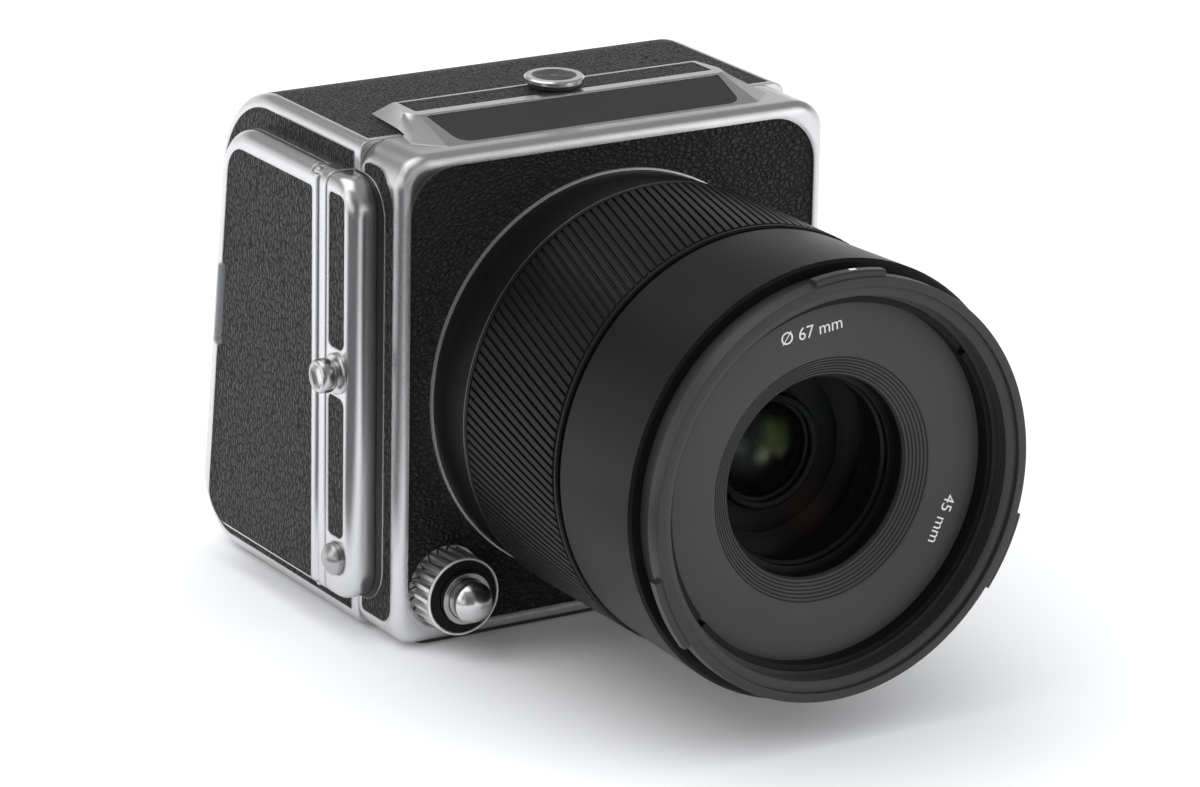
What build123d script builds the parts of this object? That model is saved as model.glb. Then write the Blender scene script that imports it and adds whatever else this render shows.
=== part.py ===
from build123d import *
import math
import os

# Medium format digital camera: a thin front body, a digital back and a wide angle lens.
# Millimetres. The lens looks along -Y, +X is on the viewer's right, +Z is up.
# The origin is the middle of the tripod screw's mouth, in the plane the camera stands on.

# Whole camera
body_width = 87.2
body_height = 89.6
lens_axis_height = 45.2
front_depth = 13.7
back_reach = 75.0
rear_lean = 7.0
seam_gap = 0.2
socket_setback = 40.0
overrun = 3.0
running_gap = 0.06
sliding_gap = 0.1
swing_gap = 0.3
seat_gap = 0.1
skin = 0.8
skin_relief = 0.1

# Front frame
frame_edge_round = 2.0
frame_top_round = 5.5
frame_bottom_round = 4.0
opening_width = 82.8
opening_top = 42.2
opening_bottom = 41.8
opening_round = 9.0
leather_seat_depth = 1.0
front_wall = 3.5
frame_side_wall = 3.0
frame_top_wall = 3.4
side_rim_front = 2.4
side_rim_rear = 1.2
side_rim_top = 3.2
side_rim_bottom = 4.4
side_rim_round = 7.0
side_rim_low_round = 3.2
side_rim_rear_round = 1.0

# Side plate and strap bar on the left
side_plate_thickness = 0.5
side_plate_front = 4.5
side_plate_drop = 0.2
side_plate_rise = 0.3
side_plate_round = 7.0
side_corner_round = 1.0
bar_reach = 5.7
bar_front = 6.7
bar_rear = 15.5
bar_bottom = 7.2
bar_top = 84.4
side_plate_bottom = bar_bottom - side_plate_drop
side_plate_top = bar_top + side_plate_rise
bar_corner_round = 6.0
bar_edge_round = 2.4
bar_strip_front = 9.3
bar_strip_rear = 14.7
bar_strip_top = 81.5
bar_strip_bottom = 19.0
bar_strip_round = 1.6
bar_strip_depth = 0.6
stud_height = 49.2
stud_setback = 11.6
stud_setback_right = 7.0
stud_base_radius = 3.7
stud_base_thickness = 0.7
stud_neck_radius = 2.4
stud_neck_length = 0.8
stud_head_radius = 3.1
stud_head_length = 2.7
stud_head_chamfer = 0.35
stud_screw_radius = 1.5
stud_screw_length = 2.6
stud_hex_radius = 1.5
stud_hex_depth = 1.2
side_button_height = 15.0
side_button_setback = 11.8
side_button_radius = 2.9
side_button_rise = 2.4
side_button_stem = 2.8
side_button_travel = 0.8

# Bridge on top
bridge_rise = 2.9
bridge_front = 4.0
bridge_shoulder = 8.5
bridge_waist = 17.0
bridge_rear = 28.5
bridge_front_half = 32.0
bridge_shoulder_half = 36.5
bridge_waist_half = 34.6
bridge_rear_half = 33.7
ridge_front = 15.4
ridge_shoulder = 15.9
ridge_waist = 18.2
ridge_rear = 24.6
ridge_front_half = 31.0
ridge_shoulder_half = 31.8
ridge_waist_half = 32.6
ridge_rear_half = 31.3
bridge_underside_gap = 0.3
strip_front = 17.6
strip_rear = 24.0
strip_half = 30.6
strip_round = 0.4
strip_depth = 0.6
plate_half_bottom = 28.8
plate_half_top = 30.2
plate_margin_bottom = 0.9
plate_margin_top = 0.6
plate_round = 3.0
plate_top_round = 0.3
plate_depth = 0.6

# Sliding latch on the bridge
latch_setback = 21.7
latch_radius = 5.4
latch_thickness = 1.2
latch_edge_round = 0.3
latch_recess_radius = 4.0
latch_recess_depth = 0.3
latch_base_radius = 4.7
latch_base_thickness = 0.7
latch_stem_radius = 1.5
latch_travel = 3.0
hook_half = 7.0
hook_front = 10.5
hook_rear = 24.0
hook_thickness = 0.6
hook_tooth_half = 3.0
hook_tooth_depth = 2.8
hook_tooth_length = 2.2

# Control wheel and shutter release
wheel_offset = 33.5
wheel_drop = 34.5
wheel_radius = 7.1
wheel_reach = 5.9
wheel_recess_gap = 0.5
wheel_rear_gap = 0.2
wheel_notches = 26
wheel_notch_width = 0.7
wheel_notch_depth = 0.9
wheel_face_radius = 6.6
wheel_face_depth = 0.5
sleeve_radius = 4.7
sleeve_bore = 3.8
sleeve_reach = 7.1
release_radius = 3.7
release_dome_rise = 2.6
release_stem_front = 9.5
release_stem_rear = 2.8

# Lens mount
boss_height = 4.0
boss_radius = 36.9
boss_lip = 0.35
boss_lip_height = 0.5
boss_bore = 31.5
ring_radius = 34.2
ring_thickness = 1.6
ring_bore = 29.0
ring_tab_radius = 27.4
bayonet_count = 3
ring_tab_span = 60.0
mount_screw_circle = 31.6
mount_screw_count = 4
mount_screw_head = 1.5
mount_screw_head_depth = 0.9
mount_screw_shank = 0.8
mount_screw_length = 3.4
contact_half = 8.0
contact_outer = 31.5
contact_inner = 28.9
contact_front = 0.6
contact_rear = 0.8
contact_pins = 10
contact_pin_radius = 0.4
contact_pin_rise = 0.3
lens_release_offset = 33.0
lens_release_drop = 30.0
lens_release_radius = 4.0
lens_release_reach = 3.0
lens_release_stem = 3.6
lens_release_round = 0.5
lock_pin_circle = 35.5
lock_pin_angle = -42.0
lock_pin_radius = 1.0
lock_pin_reach = 1.2
lock_plate_thickness = 1.0
lock_plate_half = 2.2
light_box_width = 58.0
light_box_height = 44.0
light_box_wall = 2.0
light_box_rear_gap = 0.3

# Base
base_thickness = 0.8
base_inset = 1.0
base_corner_round = 3.0
base_seam_inset = 0.4
back_base_rear = 56.0
base_screw_head = 1.6
base_screw_head_depth = 0.5
base_screw_shank = 0.8
base_screw_length = 2.6
base_screw_inset = 6.0
tripod_radius = 3.175
tripod_depth = 5.5
tripod_insert_radius = 7.0
tripod_insert_height = 6.6
tripod_boss_radius = 10.0
tripod_boss_height = 8.6

# Digital back shell
rear_bottom_round = 12.0
rear_top_round = 19.0
back_edge_round = 2.0
band_width = 2.3
wrap_front_rim = 1.4
wrap_end_height = 74.0
back_wall = 2.4
back_side_wall = 2.8
back_rear_wall = 7.0
sensor_window_width = 46.0
sensor_window_height = 35.0
mic_hole_radius = 0.45
mic_hole_offset = 30.8
mic_hole_first = 36.9
mic_hole_pitch = 3.1
mic_hole_depth = 1.4

# Grip block and its door
grip_front = 15.9
grip_strip = 2.3
grip_base_reach = 2.6
grip_reach = bar_reach
grip_bottom = bar_bottom
grip_top = bar_top
grip_rear_inset = 10.0
grip_bottom_round = 9.0
grip_top_round = 11.0
grip_edge_round = bar_edge_round
door_nose_radius = 1.4
door_pin_radius = 0.6
door_ear = 1.2
door_leather_front = 20.8
door_leather_border = 3.6
door_leather_corner = 5.5
door_leather_front_round = 0.8
door_leather_depth = 0.6
scoop_low = -3.3
scoop_high = 12.6
scoop_width = 2.4
scoop_depth = 1.4

# Behind the door
battery_length = 36.0
battery_height = 55.0
battery_front = 24.5
battery_bottom = 17.0
battery_lip = 1.4
battery_gap = 0.2
tray_wall = 1.0
card_width = 24.4
card_slot = 2.4
card_depth = 32.0
card_pitch = 3.6
card_bottom = 34.0
card_margin = 2.0

# Sensor and boards
glass_thickness = 1.2
sensor_width = 56.0
sensor_height = 45.0
sensor_thickness = 2.2
heat_sink_width = 60.0
heat_sink_height = 50.0
heat_sink_thickness = 3.0
heat_sink_fins = 9
heat_sink_groove = 3.2
heat_sink_groove_depth = 2.0
board_thickness = 1.4
board_half_width = 38.0
board_bottom = 11.0
board_top = 64.0
board_chip = 14.0
board_chip_thickness = 0.9
board_stud_radius = 2.5
board_rear_gap = 1.6

# Tilting screen on the leaning rear face
rear_middle_height = 42.0
screen_width = 76.0
screen_low = -19.5
screen_high = 29.5
screen_thickness = 4.2
screen_proud = 0.3
screen_round = 1.6
screen_bottom_gap = 1.0
screen_glass_inset = 1.0
screen_glass_thickness = 0.6
screen_glass_low_inset = 1.0
screen_glass_high_inset = 3.4
screen_pin_radius = 0.8
screen_pin_length = 5.0
screen_pin_engage = 2.5

# Rear buttons
rear_button_count = 5
rear_button_pitch = 14.0
rear_button_width = 9.0
rear_button_height = 3.6
rear_button_place = -25.5
rear_button_rise = 0.5
rear_button_depth = 3.0
rear_button_travel = 0.5
rear_button_round = 1.2
power_radius = 3.0
power_setback = 40.0
power_height = 78.0
power_rise = 0.6
power_depth = 1.6
power_travel = 0.5

# Port door on the right
port_front = 30.0
port_rear = 44.0
port_bottom = 14.0
port_top = 50.0
port_door_thickness = 1.6
port_round = 0.8
port_nose_radius = 0.8
port_pin_radius = 0.35
port_pin_engage = 1.0
port_pin_length = 2.2
port_block_depth = 6.0
port_count = 3
port_slot_depth = 7.4
port_slot_height = 8.6
port_slot_width = 3.2
port_slot_round = 1.0
port_pitch = 11.0

# Lens, as depths forward of the front plane
lens_length = 73.6
rear_barrel_front = 12.0
rear_barrel_radius = 37.1
rear_barrel_front_radius = 37.6
rear_barrel_bore = 30.0
flange_radius = 34.0
flange_thickness = 1.6
lens_tube_radius = 26.8
lens_tube_bore = 25.4
lens_tube_reach = 3.4
lens_lug_radius = 28.5
lens_lug_span = 54.0
lens_lug_front_gap = 0.1
lens_lug_thickness = 1.4
focus_rear = 12.1
focus_front = 43.2
focus_radius = 38.0
focus_chamfer = 0.4
focus_bore_gap = 0.06
inner_radius = 35.5
inner_bore = 31.0
groove_radius = 36.5
groove_front = 44.1
inner_front = 61.0
web_thickness = 3.0
web_front = 58.5
cell_radius = 22.0
cell_bore = 18.5
cell_rear = 8.0
rear_web_front = 16.0
front_barrel_rear_radius = 37.6
front_barrel_front_radius = 38.5
front_barrel_front = 67.3
front_barrel_edge = 0.5
rim_rear = 61.2
hood_groove_radius = 36.3
hood_groove_front = 70.6
rim_radius = 37.0
rim_edge = 0.3
rim_face_bore = 35.2
rim_chamfer_depth = 1.3
thread_radius = 33.5
thread_depth = 4.0
rim_bore = 31.5
plate_seat_radius = 32.7
hood_lug_radius = 38.1
hood_lug_front = 73.2
hood_lug_rear = 71.2
hood_lug_span = 21.0
hood_lug_angles = (90.0, 206.0, 334.0)
retainer_bore = 31.6
retainer_thickness = 2.7
retainer_notch_angle = 38.0
retainer_notch_width = 1.6
retainer_notch_depth = 1.2
plate_thickness = 1.2
plate_cone_radius = 21.8
plate_cone_drop = 2.1
plate_bore = 17.8
throat_outer = 21.0
throat_step_radius = 17.0
throat_step_depth = 3.0
front_glass_edge = 55.0
front_glass_rise = 1.8
front_glass_thickness = 5.0
element_edge = 3.0
element_rise = 1.5
middle_fronts = (48.0, 42.0)
shutter_front = 36.0
shutter_thickness = 5.0
shutter_bore = 9.0
rear_glass_front = 14.5

# Places worked out from the sizes above
half_width = body_width / 2
front_y = -socket_setback
front_rear_y = front_y + front_depth
back_y = front_rear_y + seam_gap
axis_z = lens_axis_height
lean = math.radians(rear_lean)
left_face = -half_width
outer_left = left_face - grip_reach
wall_seat_y = front_y + leather_seat_depth
wall_rear_y = wall_seat_y + front_wall
flange_y = front_y - boss_height
wheel_x = -wheel_offset
wheel_z = axis_z - wheel_drop
ridge_z = body_height + bridge_rise
hinge_x = outer_left + door_nose_radius
hinge_y = front_y + grip_front + grip_strip + swing_gap + door_nose_radius
full_turn = 360.0


def block(x_ends, y_ends, z_ends):
    spans = [ends[1] - ends[0] for ends in (x_ends, y_ends, z_ends)]
    middles = [(ends[0] + ends[1]) / 2 for ends in (x_ends, y_ends, z_ends)]
    return Pos(*middles) * Box(*spans)


def rod_x(radius, x_start, x_end, y, z):
    return Pos((x_start + x_end) / 2, y, z) * Rot(0, 90, 0) * Cylinder(radius, x_end - x_start)


def rod_y(radius, y_start, y_end, x, z):
    return Pos(x, (y_start + y_end) / 2, z) * Rot(90, 0, 0) * Cylinder(radius, y_end - y_start)


def rod_z(radius, z_start, z_end, x, y):
    return Pos(x, y, (z_start + z_end) / 2) * Cylinder(radius, z_end - z_start)


def outline(points, radii):
    return make_face(FilletPolyline(*points, radius=radii, close=True))


def rectangle(low_u, high_u, low_v, high_v, radii):
    corners = [(low_u, low_v), (high_u, low_v), (high_u, high_v), (low_u, high_v)]
    return outline(corners, radii)


def slab_y(face, y_start, y_end):
    plane = Plane(origin=(0, y_end, 0), x_dir=(1, 0, 0), z_dir=(0, -1, 0))
    return extrude(plane * face, amount=y_end - y_start)


def slab_x(face, x_start, x_end):
    plane = Plane(origin=(x_start, 0, 0), x_dir=(0, 1, 0), z_dir=(1, 0, 0))
    return extrude(plane * face, amount=x_end - x_start)


def slab_z(face, z_start, z_end):
    return extrude(Plane.XY.offset(z_start) * face, amount=z_end - z_start)


def turned(points):
    # Points are (radius, depth forward of the front plane); the solid turns about the lens axis.
    corners = [(radius, front_y - depth) for radius, depth in points]
    profile = make_face(Polyline(*corners, close=True))
    return Pos(0, 0, axis_z) * revolve(profile, Axis.Y)


def lens_ring(outer, inner, rear, front):
    return turned([(inner, rear), (outer, rear), (outer, front), (inner, front)])


def wedge(radius, angle, span, y_start, y_end):
    # A slice of a disc about the lens axis, centred on an angle measured from +X towards +Z.
    reach = radius / math.cos(math.radians(span / 2))
    corners = [(0, 0)]
    for turn in (angle - span / 2, angle, angle + span / 2):
        corners.append((reach * math.cos(math.radians(turn)), reach * math.sin(math.radians(turn))))
    face = make_face(Polyline(*corners, close=True))
    return Pos(0, 0, axis_z) * slab_y(face, y_start, y_end)


def on_circle(radius, angle):
    return radius * math.cos(math.radians(angle)), axis_z + radius * math.sin(math.radians(angle))


def edges_on_x(solid, x):
    near = seam_gap / 2
    return solid.edges().filter_by_position(Axis.X, x - near, x + near)


def edges_on_y(solid, y):
    near = seam_gap / 2
    return solid.edges().filter_by_position(Axis.Y, y - near, y + near)


def frame_face(inset, bottom):
    radii = [frame_bottom_round - inset] * 2 + [frame_top_round - inset] * 2
    side = half_width - inset
    return rectangle(-side, side, bottom, body_height - inset, radii)


def opening_face():
    side = opening_width / 2
    low = axis_z - opening_bottom
    high = axis_z + opening_top
    return rectangle(-side, side, low, high, [opening_round] * 4)


def frame_side_face():
    front = front_y + side_rim_front
    rear = front_rear_y - side_rim_rear
    radii = [side_rim_low_round, side_rim_rear_round, side_rim_rear_round, side_rim_round]
    return rectangle(front, rear, side_rim_bottom, body_height - side_rim_top, radii)


def side_recesses(face, depth):
    left = slab_x(face, -half_width, -half_width + depth)
    right = slab_x(face, half_width - depth, half_width)
    return left, right


def lock_pin_place():
    return on_circle(lock_pin_circle, lock_pin_angle)


def mount_screw_places():
    turns = [(index + 1 / 2) * full_turn / mount_screw_count for index in range(mount_screw_count)]
    return [on_circle(mount_screw_circle, turn) for turn in turns]


def front_frame():
    body = slab_y(frame_face(0, base_thickness), front_y, front_rear_y)
    body = fillet(edges_on_y(body, front_y), frame_edge_round)
    body -= slab_y(opening_face(), front_y - overrun, wall_seat_y)
    hollow_side = half_width - frame_side_wall
    hollow_z = (base_thickness + frame_top_wall, body_height - frame_top_wall)
    body -= block((-hollow_side, hollow_side), (wall_rear_y, front_rear_y + overrun), hollow_z)
    body -= rod_y(boss_bore, front_y, wall_rear_y + overrun, 0, axis_z)
    body -= rod_y(wheel_radius + wheel_recess_gap, front_y - overrun, wall_seat_y, wheel_x, wheel_z)
    body -= rod_y(sleeve_radius, front_y, wall_rear_y + overrun, wheel_x, wheel_z)
    release_bore = lens_release_radius + sliding_gap
    release_z = axis_z - lens_release_drop
    body -= rod_y(release_bore, front_y, wall_rear_y + overrun, lens_release_offset, release_z)
    pin_x, pin_z = lock_pin_place()
    body -= rod_y(lock_pin_radius + running_gap, front_y, wall_rear_y + overrun, pin_x, pin_z)
    for x, z in mount_screw_places():
        body -= rod_y(mount_screw_shank, front_y, wall_rear_y + overrun, x, z)
    for recess in side_recesses(frame_side_face(), skin):
        body -= recess
    tooth_y = (front_y + hook_front - sliding_gap, front_y + hook_front + hook_tooth_length + sliding_gap)
    tooth_x = (-hook_tooth_half - sliding_gap, hook_tooth_half + latch_travel + sliding_gap)
    body -= block(tooth_x, tooth_y, (body_height - hook_tooth_depth - swing_gap, body_height + overrun))
    for x, y in front_screw_places():
        body -= rod_z(base_screw_shank, 0, base_thickness + base_screw_length, x, y)
    body -= plate_recess()
    stud_y = front_y + stud_setback_right
    return body - rod_x(stud_screw_radius, half_width - stud_screw_length, half_width, stud_y, stud_height)


def front_leather():
    sheet = slab_y(opening_face(), front_y + leather_seat_depth - skin, wall_seat_y)
    sheet -= rod_y(boss_radius + boss_lip, front_y - overrun, wall_seat_y + overrun, 0, axis_z)
    wheel_hole = wheel_radius + wheel_recess_gap
    sheet -= rod_y(wheel_hole, front_y - overrun, wall_seat_y + overrun, wheel_x, wheel_z)
    release_z = axis_z - lens_release_drop
    release_hole = lens_release_radius + swing_gap
    sheet -= rod_y(release_hole, front_y - overrun, wall_seat_y + overrun, lens_release_offset, release_z)
    return sheet


def side_leathers():
    left, right = side_recesses(frame_side_face(), skin)
    right -= rod_x(
        stud_screw_radius, half_width - stud_screw_length, half_width + overrun,
        front_y + stud_setback_right, stud_height,
    )
    return [left, right] + bar_strips(bar_strip_depth - skin_relief)


def side_plate():
    front = front_y + side_plate_front
    rear = front_y + bar_rear
    radii = [side_plate_round, side_corner_round, side_corner_round, side_plate_round]
    face = rectangle(front, rear, side_plate_bottom, side_plate_top, radii)
    return slab_x(face, left_face - side_plate_thickness, left_face)


def bar_strips(depth):
    # The strip is in two lengths, above and below the stud.
    front = front_y + bar_strip_front
    rear = front_y + bar_strip_rear
    gap = stud_base_radius + stud_base_thickness
    bottom_x = outer_left + bar_strip_depth
    radii = [bar_strip_round, side_corner_round, side_corner_round, bar_strip_round]
    lengths = ((bar_strip_bottom, stud_height - gap), (stud_height + gap, bar_strip_top))
    faces = [rectangle(front, rear, low, high, radii) for low, high in lengths]
    return [slab_x(face, bottom_x - depth, bottom_x) for face in faces]


def strap_bar():
    front = front_y + bar_front
    rear = front_y + bar_rear
    face = rectangle(front, rear, bar_bottom, bar_top, [bar_corner_round, 0, 0, bar_corner_round])
    inner_x = left_face - side_plate_thickness
    bar = slab_x(face, left_face - bar_reach, inner_x)
    outer_edges = edges_on_x(bar, left_face - bar_reach)
    rounded = outer_edges.filter_by_position(Axis.Y, front - overrun, rear - seam_gap)
    bar = fillet(rounded, bar_edge_round)
    for strip in bar_strips(bar_strip_depth + overrun):
        bar -= strip
    button_y = front_y + side_button_setback
    button_depth = side_button_stem + side_button_travel + swing_gap
    bore = side_button_radius + sliding_gap
    bar -= rod_x(bore, outer_left - overrun, outer_left + button_depth, button_y, side_button_height)
    stud_y = front_y + stud_setback
    return bar - rod_x(stud_screw_radius, outer_left, outer_left + stud_screw_length, stud_y, stud_height)


def stud(face_x, side, y, z):
    # A base disc, a neck and a head with a hexagon socket; side is -1 on the left and 1 on the right.
    base_end = stud_base_thickness
    neck_end = base_end + stud_neck_length
    head_end = neck_end + stud_head_length
    profile = [
        (-stud_screw_length, 0), (-stud_screw_length, stud_screw_radius), (0, stud_screw_radius),
        (0, stud_base_radius), (base_end, stud_base_radius), (base_end, stud_neck_radius),
        (neck_end, stud_neck_radius), (neck_end, stud_head_radius - stud_head_chamfer),
        (neck_end + stud_head_chamfer, stud_head_radius),
        (head_end - stud_head_chamfer, stud_head_radius), (head_end, stud_head_radius - stud_head_chamfer),
        (head_end, 0),
    ]
    body = revolve(make_face(Polyline(*profile, close=True)), Axis.X)
    socket = Plane.YZ * RegularPolygon(stud_hex_radius, 6)
    body -= Pos(head_end - stud_hex_depth, 0, 0) * extrude(socket, amount=stud_hex_depth + overrun)
    turn = 0 if side > 0 else 180
    return Pos(face_x, y, z) * Rot(0, 0, turn) * body


def strap_studs():
    left = stud(outer_left, -1, front_y + stud_setback, stud_height)
    right = stud(half_width, 1, front_y + stud_setback_right, stud_height)
    return [left, right]


def domed(radius, rise, stem):
    # A round button that points along +Z, with its dome's edge at zero.
    sphere_radius = (radius * radius + rise * rise) / (2 * rise)
    cap = Pos(0, 0, rise - sphere_radius) * Sphere(sphere_radius)
    cap &= rod_z(radius, 0, rise + overrun, 0, 0)
    return cap + rod_z(radius, -stem, 0, 0, 0)


def side_button():
    place = Pos(outer_left, front_y + side_button_setback, side_button_height)
    return place * Rot(0, -90, 0) * domed(side_button_radius, side_button_rise, side_button_stem)


def mirrored_outline(places):
    # Places are (half width, setback) from the front to the rear.
    right = [(half, front_y + setback) for half, setback in places]
    left = [(-x, y) for x, y in reversed(right)]
    return make_face(Polyline(*(right + left), close=True))


def slope_plane():
    run = ridge_front - bridge_front
    angle = math.atan2(bridge_rise, run)
    normal = (0, -math.sin(angle), math.cos(angle))
    return Plane(origin=(0, front_y + bridge_front, body_height), x_dir=(1, 0, 0), z_dir=normal)


def plate_face():
    slope = math.hypot(ridge_front - bridge_front, bridge_rise)
    low = plate_margin_bottom
    high = slope - plate_margin_top
    corners = [
        (-plate_half_bottom, low), (plate_half_bottom, low), (plate_half_top, high), (-plate_half_top, high),
    ]
    return outline(corners, [plate_round, plate_round, plate_top_round, plate_top_round])


def strip_face():
    front = front_y + strip_front
    rear = front_y + strip_rear
    return rectangle(-strip_half, strip_half, front, rear, [strip_round] * 4)


def latch_slot(extra):
    y = front_y + latch_setback
    radius = latch_stem_radius + extra
    low = body_height - overrun
    high = ridge_z + overrun
    slot = block((0, latch_travel), (y - radius, y + radius), (low, high))
    return slot + rod_z(radius, low, high, 0, y) + rod_z(radius, low, high, latch_travel, y)


def plate_recess():
    return extrude(slope_plane().offset(-plate_depth) * plate_face(), amount=plate_depth + overrun)


def bridge_cover():
    base_places = [
        (bridge_front_half, bridge_front), (bridge_shoulder_half, bridge_shoulder),
        (bridge_waist_half, bridge_waist), (bridge_rear_half, bridge_rear),
    ]
    ridge_places = [
        (ridge_front_half, ridge_front), (ridge_shoulder_half, ridge_shoulder),
        (ridge_waist_half, ridge_waist), (ridge_rear_half, ridge_rear),
    ]
    low = Plane.XY.offset(body_height) * mirrored_outline(base_places)
    high = Plane.XY.offset(ridge_z) * mirrored_outline(ridge_places)
    cover = loft([low, high], ruled=True)
    cover -= slab_z(strip_face(), ridge_z - strip_depth, ridge_z + overrun)
    cover -= plate_recess()
    reach = half_width + overrun
    underside = (body_height - overrun, body_height + bridge_underside_gap)
    cover -= block((-reach, reach), (front_rear_y, front_y + bridge_rear + overrun), underside)
    hook_x = (-hook_half - sliding_gap, hook_half + latch_travel + sliding_gap)
    hook_y = (front_y + hook_front - sliding_gap, front_y + hook_rear + sliding_gap)
    hook_top = body_height + bridge_underside_gap + hook_thickness + sliding_gap
    cover -= block(hook_x, hook_y, (body_height - overrun, hook_top))
    cover -= latch_slot(sliding_gap)
    return cover


def bridge_leather():
    strip = slab_z(strip_face(), ridge_z - strip_depth, ridge_z - skin_relief)
    return strip - latch_slot(sliding_gap)


def name_plate():
    return extrude(slope_plane().offset(-plate_depth) * plate_face(), amount=plate_depth - skin_relief)


def latch_button():
    y = front_y + latch_setback
    bottom = ridge_z + latch_base_thickness
    top = bottom + latch_thickness
    disc = rod_z(latch_radius, bottom, top, 0, y)
    disc = chamfer(disc.edges().filter_by(GeomType.CIRCLE), latch_edge_round)
    return disc - rod_z(latch_recess_radius, top - latch_recess_depth, top + overrun, 0, y)


def latch_hook():
    # The black foot under the button, its stem and the sliding plate with its tooth.
    y = front_y + latch_setback
    plate_z = (body_height + bridge_underside_gap, body_height + bridge_underside_gap + hook_thickness)
    plate_y = (front_y + hook_front, front_y + hook_rear)
    hook = block((-hook_half, hook_half), plate_y, plate_z)
    tooth_y = (front_y + hook_front, front_y + hook_front + hook_tooth_length)
    tooth_z = (body_height - hook_tooth_depth, plate_z[1])
    hook += block((-hook_tooth_half, hook_tooth_half), tooth_y, tooth_z)
    hook += rod_z(latch_stem_radius, plate_z[0], ridge_z + latch_base_thickness, 0, y)
    foot_bottom = ridge_z + skin_relief
    return hook + rod_z(latch_base_radius, foot_bottom, ridge_z + latch_base_thickness, 0, y)


def wheel_disc(outer, inner, rear_y, face_y):
    ring = rod_y(outer, face_y, rear_y, wheel_x, wheel_z)
    return ring - rod_y(inner, face_y - overrun, rear_y + overrun, wheel_x, wheel_z)


def release_wheel():
    face_y = front_y - wheel_reach
    rear_y = wall_seat_y - wheel_rear_gap
    wheel = wheel_disc(wheel_radius, sleeve_radius + running_gap, rear_y, face_y)
    wheel -= rod_y(wheel_face_radius, face_y - overrun, face_y + wheel_face_depth, wheel_x, wheel_z)
    groove_front = face_y + wheel_face_depth
    for index in range(wheel_notches):
        notch = block(
            (wheel_radius - wheel_notch_depth, wheel_radius + overrun),
            (groove_front, rear_y + overrun),
            (-wheel_notch_width / 2, wheel_notch_width / 2),
        )
        turn = index * full_turn / wheel_notches
        wheel -= Pos(wheel_x, 0, wheel_z) * Rot(0, turn, 0) * notch
    return wheel


def wheel_face():
    face_y = front_y - wheel_reach
    bore = sleeve_radius + running_gap
    return wheel_disc(wheel_face_radius, bore, face_y + wheel_face_depth, face_y + skin_relief)


def release_sleeve():
    return wheel_disc(sleeve_radius, sleeve_bore, wall_rear_y, front_y - sleeve_reach)


def release_button():
    stem = release_stem_front + release_stem_rear
    dome = domed(release_radius, release_dome_rise, stem)
    return Pos(wheel_x, front_y - release_stem_front, wheel_z) * Rot(90, 0, 0) * dome


def mount_boss():
    lip = boss_radius + boss_lip
    ring_seat = boss_height - ring_thickness
    boss = turned([
        (boss_bore, -leather_seat_depth), (lip, -leather_seat_depth), (lip, boss_lip_height),
        (boss_radius, boss_lip_height), (boss_radius, boss_height), (ring_radius, boss_height),
        (ring_radius, ring_seat), (boss_bore, ring_seat),
    ])
    pin_x, pin_z = lock_pin_place()
    boss -= rod_y(lock_pin_radius + running_gap, flange_y - overrun, wall_rear_y, pin_x, pin_z)
    for x, z in mount_screw_places():
        boss -= rod_y(mount_screw_shank, flange_y - overrun, wall_rear_y, x, z)
    return boss


def bayonet_slices(radius, span, y_start, y_end):
    turns = [index * full_turn / bayonet_count for index in range(bayonet_count)]
    return [wedge(radius, turn, span, y_start, y_end) for turn in turns]


def mount_ring():
    rear = boss_height - ring_thickness
    ring = lens_ring(ring_radius, ring_bore, rear, boss_height)
    tab_ring = lens_ring(ring_bore + seat_gap, ring_tab_radius, rear, boss_height)
    for slice_ in bayonet_slices(ring_radius, ring_tab_span, flange_y, front_y - rear):
        ring += tab_ring & slice_
    for x, z in mount_screw_places():
        ring -= rod_y(mount_screw_shank, flange_y - overrun, front_y, x, z)
        ring -= rod_y(mount_screw_head, flange_y - overrun, flange_y + mount_screw_head_depth, x, z)
    return ring


def mount_contacts():
    front = front_y - contact_front
    rear = front_y + contact_rear
    z_ends = (axis_z - contact_outer, axis_z - contact_inner)
    bar = block((-contact_half, contact_half), (front, rear), z_ends)
    bar &= rod_y(boss_bore, front - overrun, rear + overrun, 0, axis_z)
    pitch = 2 * (contact_half - contact_pin_radius) / contact_pins
    pin_z = axis_z - (contact_outer + contact_inner) / 2
    for index in range(contact_pins):
        x = (index - (contact_pins - 1) / 2) * pitch
        bar += rod_y(contact_pin_radius, front - contact_pin_rise, front, x, pin_z)
    return bar


def lens_release_button():
    front = front_y - lens_release_reach
    rear = front_y + lens_release_stem
    button = rod_y(lens_release_radius, front, rear, lens_release_offset, axis_z - lens_release_drop)
    return fillet(edges_on_y(button, front), lens_release_round)


def lens_lock_pin():
    # The pin and the plate behind the front wall that joins it to the release button.
    pin_x, pin_z = lock_pin_place()
    pin = rod_y(lock_pin_radius, flange_y - lock_pin_reach, wall_rear_y + seat_gap, pin_x, pin_z)
    release_z = axis_z - lens_release_drop
    plate_y = (wall_rear_y + seat_gap, wall_rear_y + seat_gap + lock_plate_thickness)
    plate_x = (pin_x - lock_pin_radius, lens_release_offset + lock_plate_half)
    plate_z = (release_z - lock_plate_half, pin_z + lock_pin_radius)
    plate = block(plate_x, plate_y, plate_z)
    stem_rear = front_y + lens_release_stem
    link = rod_y(lock_plate_half, stem_rear, plate_y[0], lens_release_offset, release_z)
    return pin + plate + link


def light_box():
    half_x = light_box_width / 2
    half_z = light_box_height / 2
    y_ends = (wall_rear_y, front_rear_y - light_box_rear_gap)
    box = block((-half_x, half_x), y_ends, (axis_z - half_z, axis_z + half_z))
    inner_x = half_x - light_box_wall
    inner_z = half_z - light_box_wall
    through = (wall_rear_y - overrun, front_rear_y + overrun)
    return box - block((-inner_x, inner_x), through, (axis_z - inner_z, axis_z + inner_z))


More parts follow.
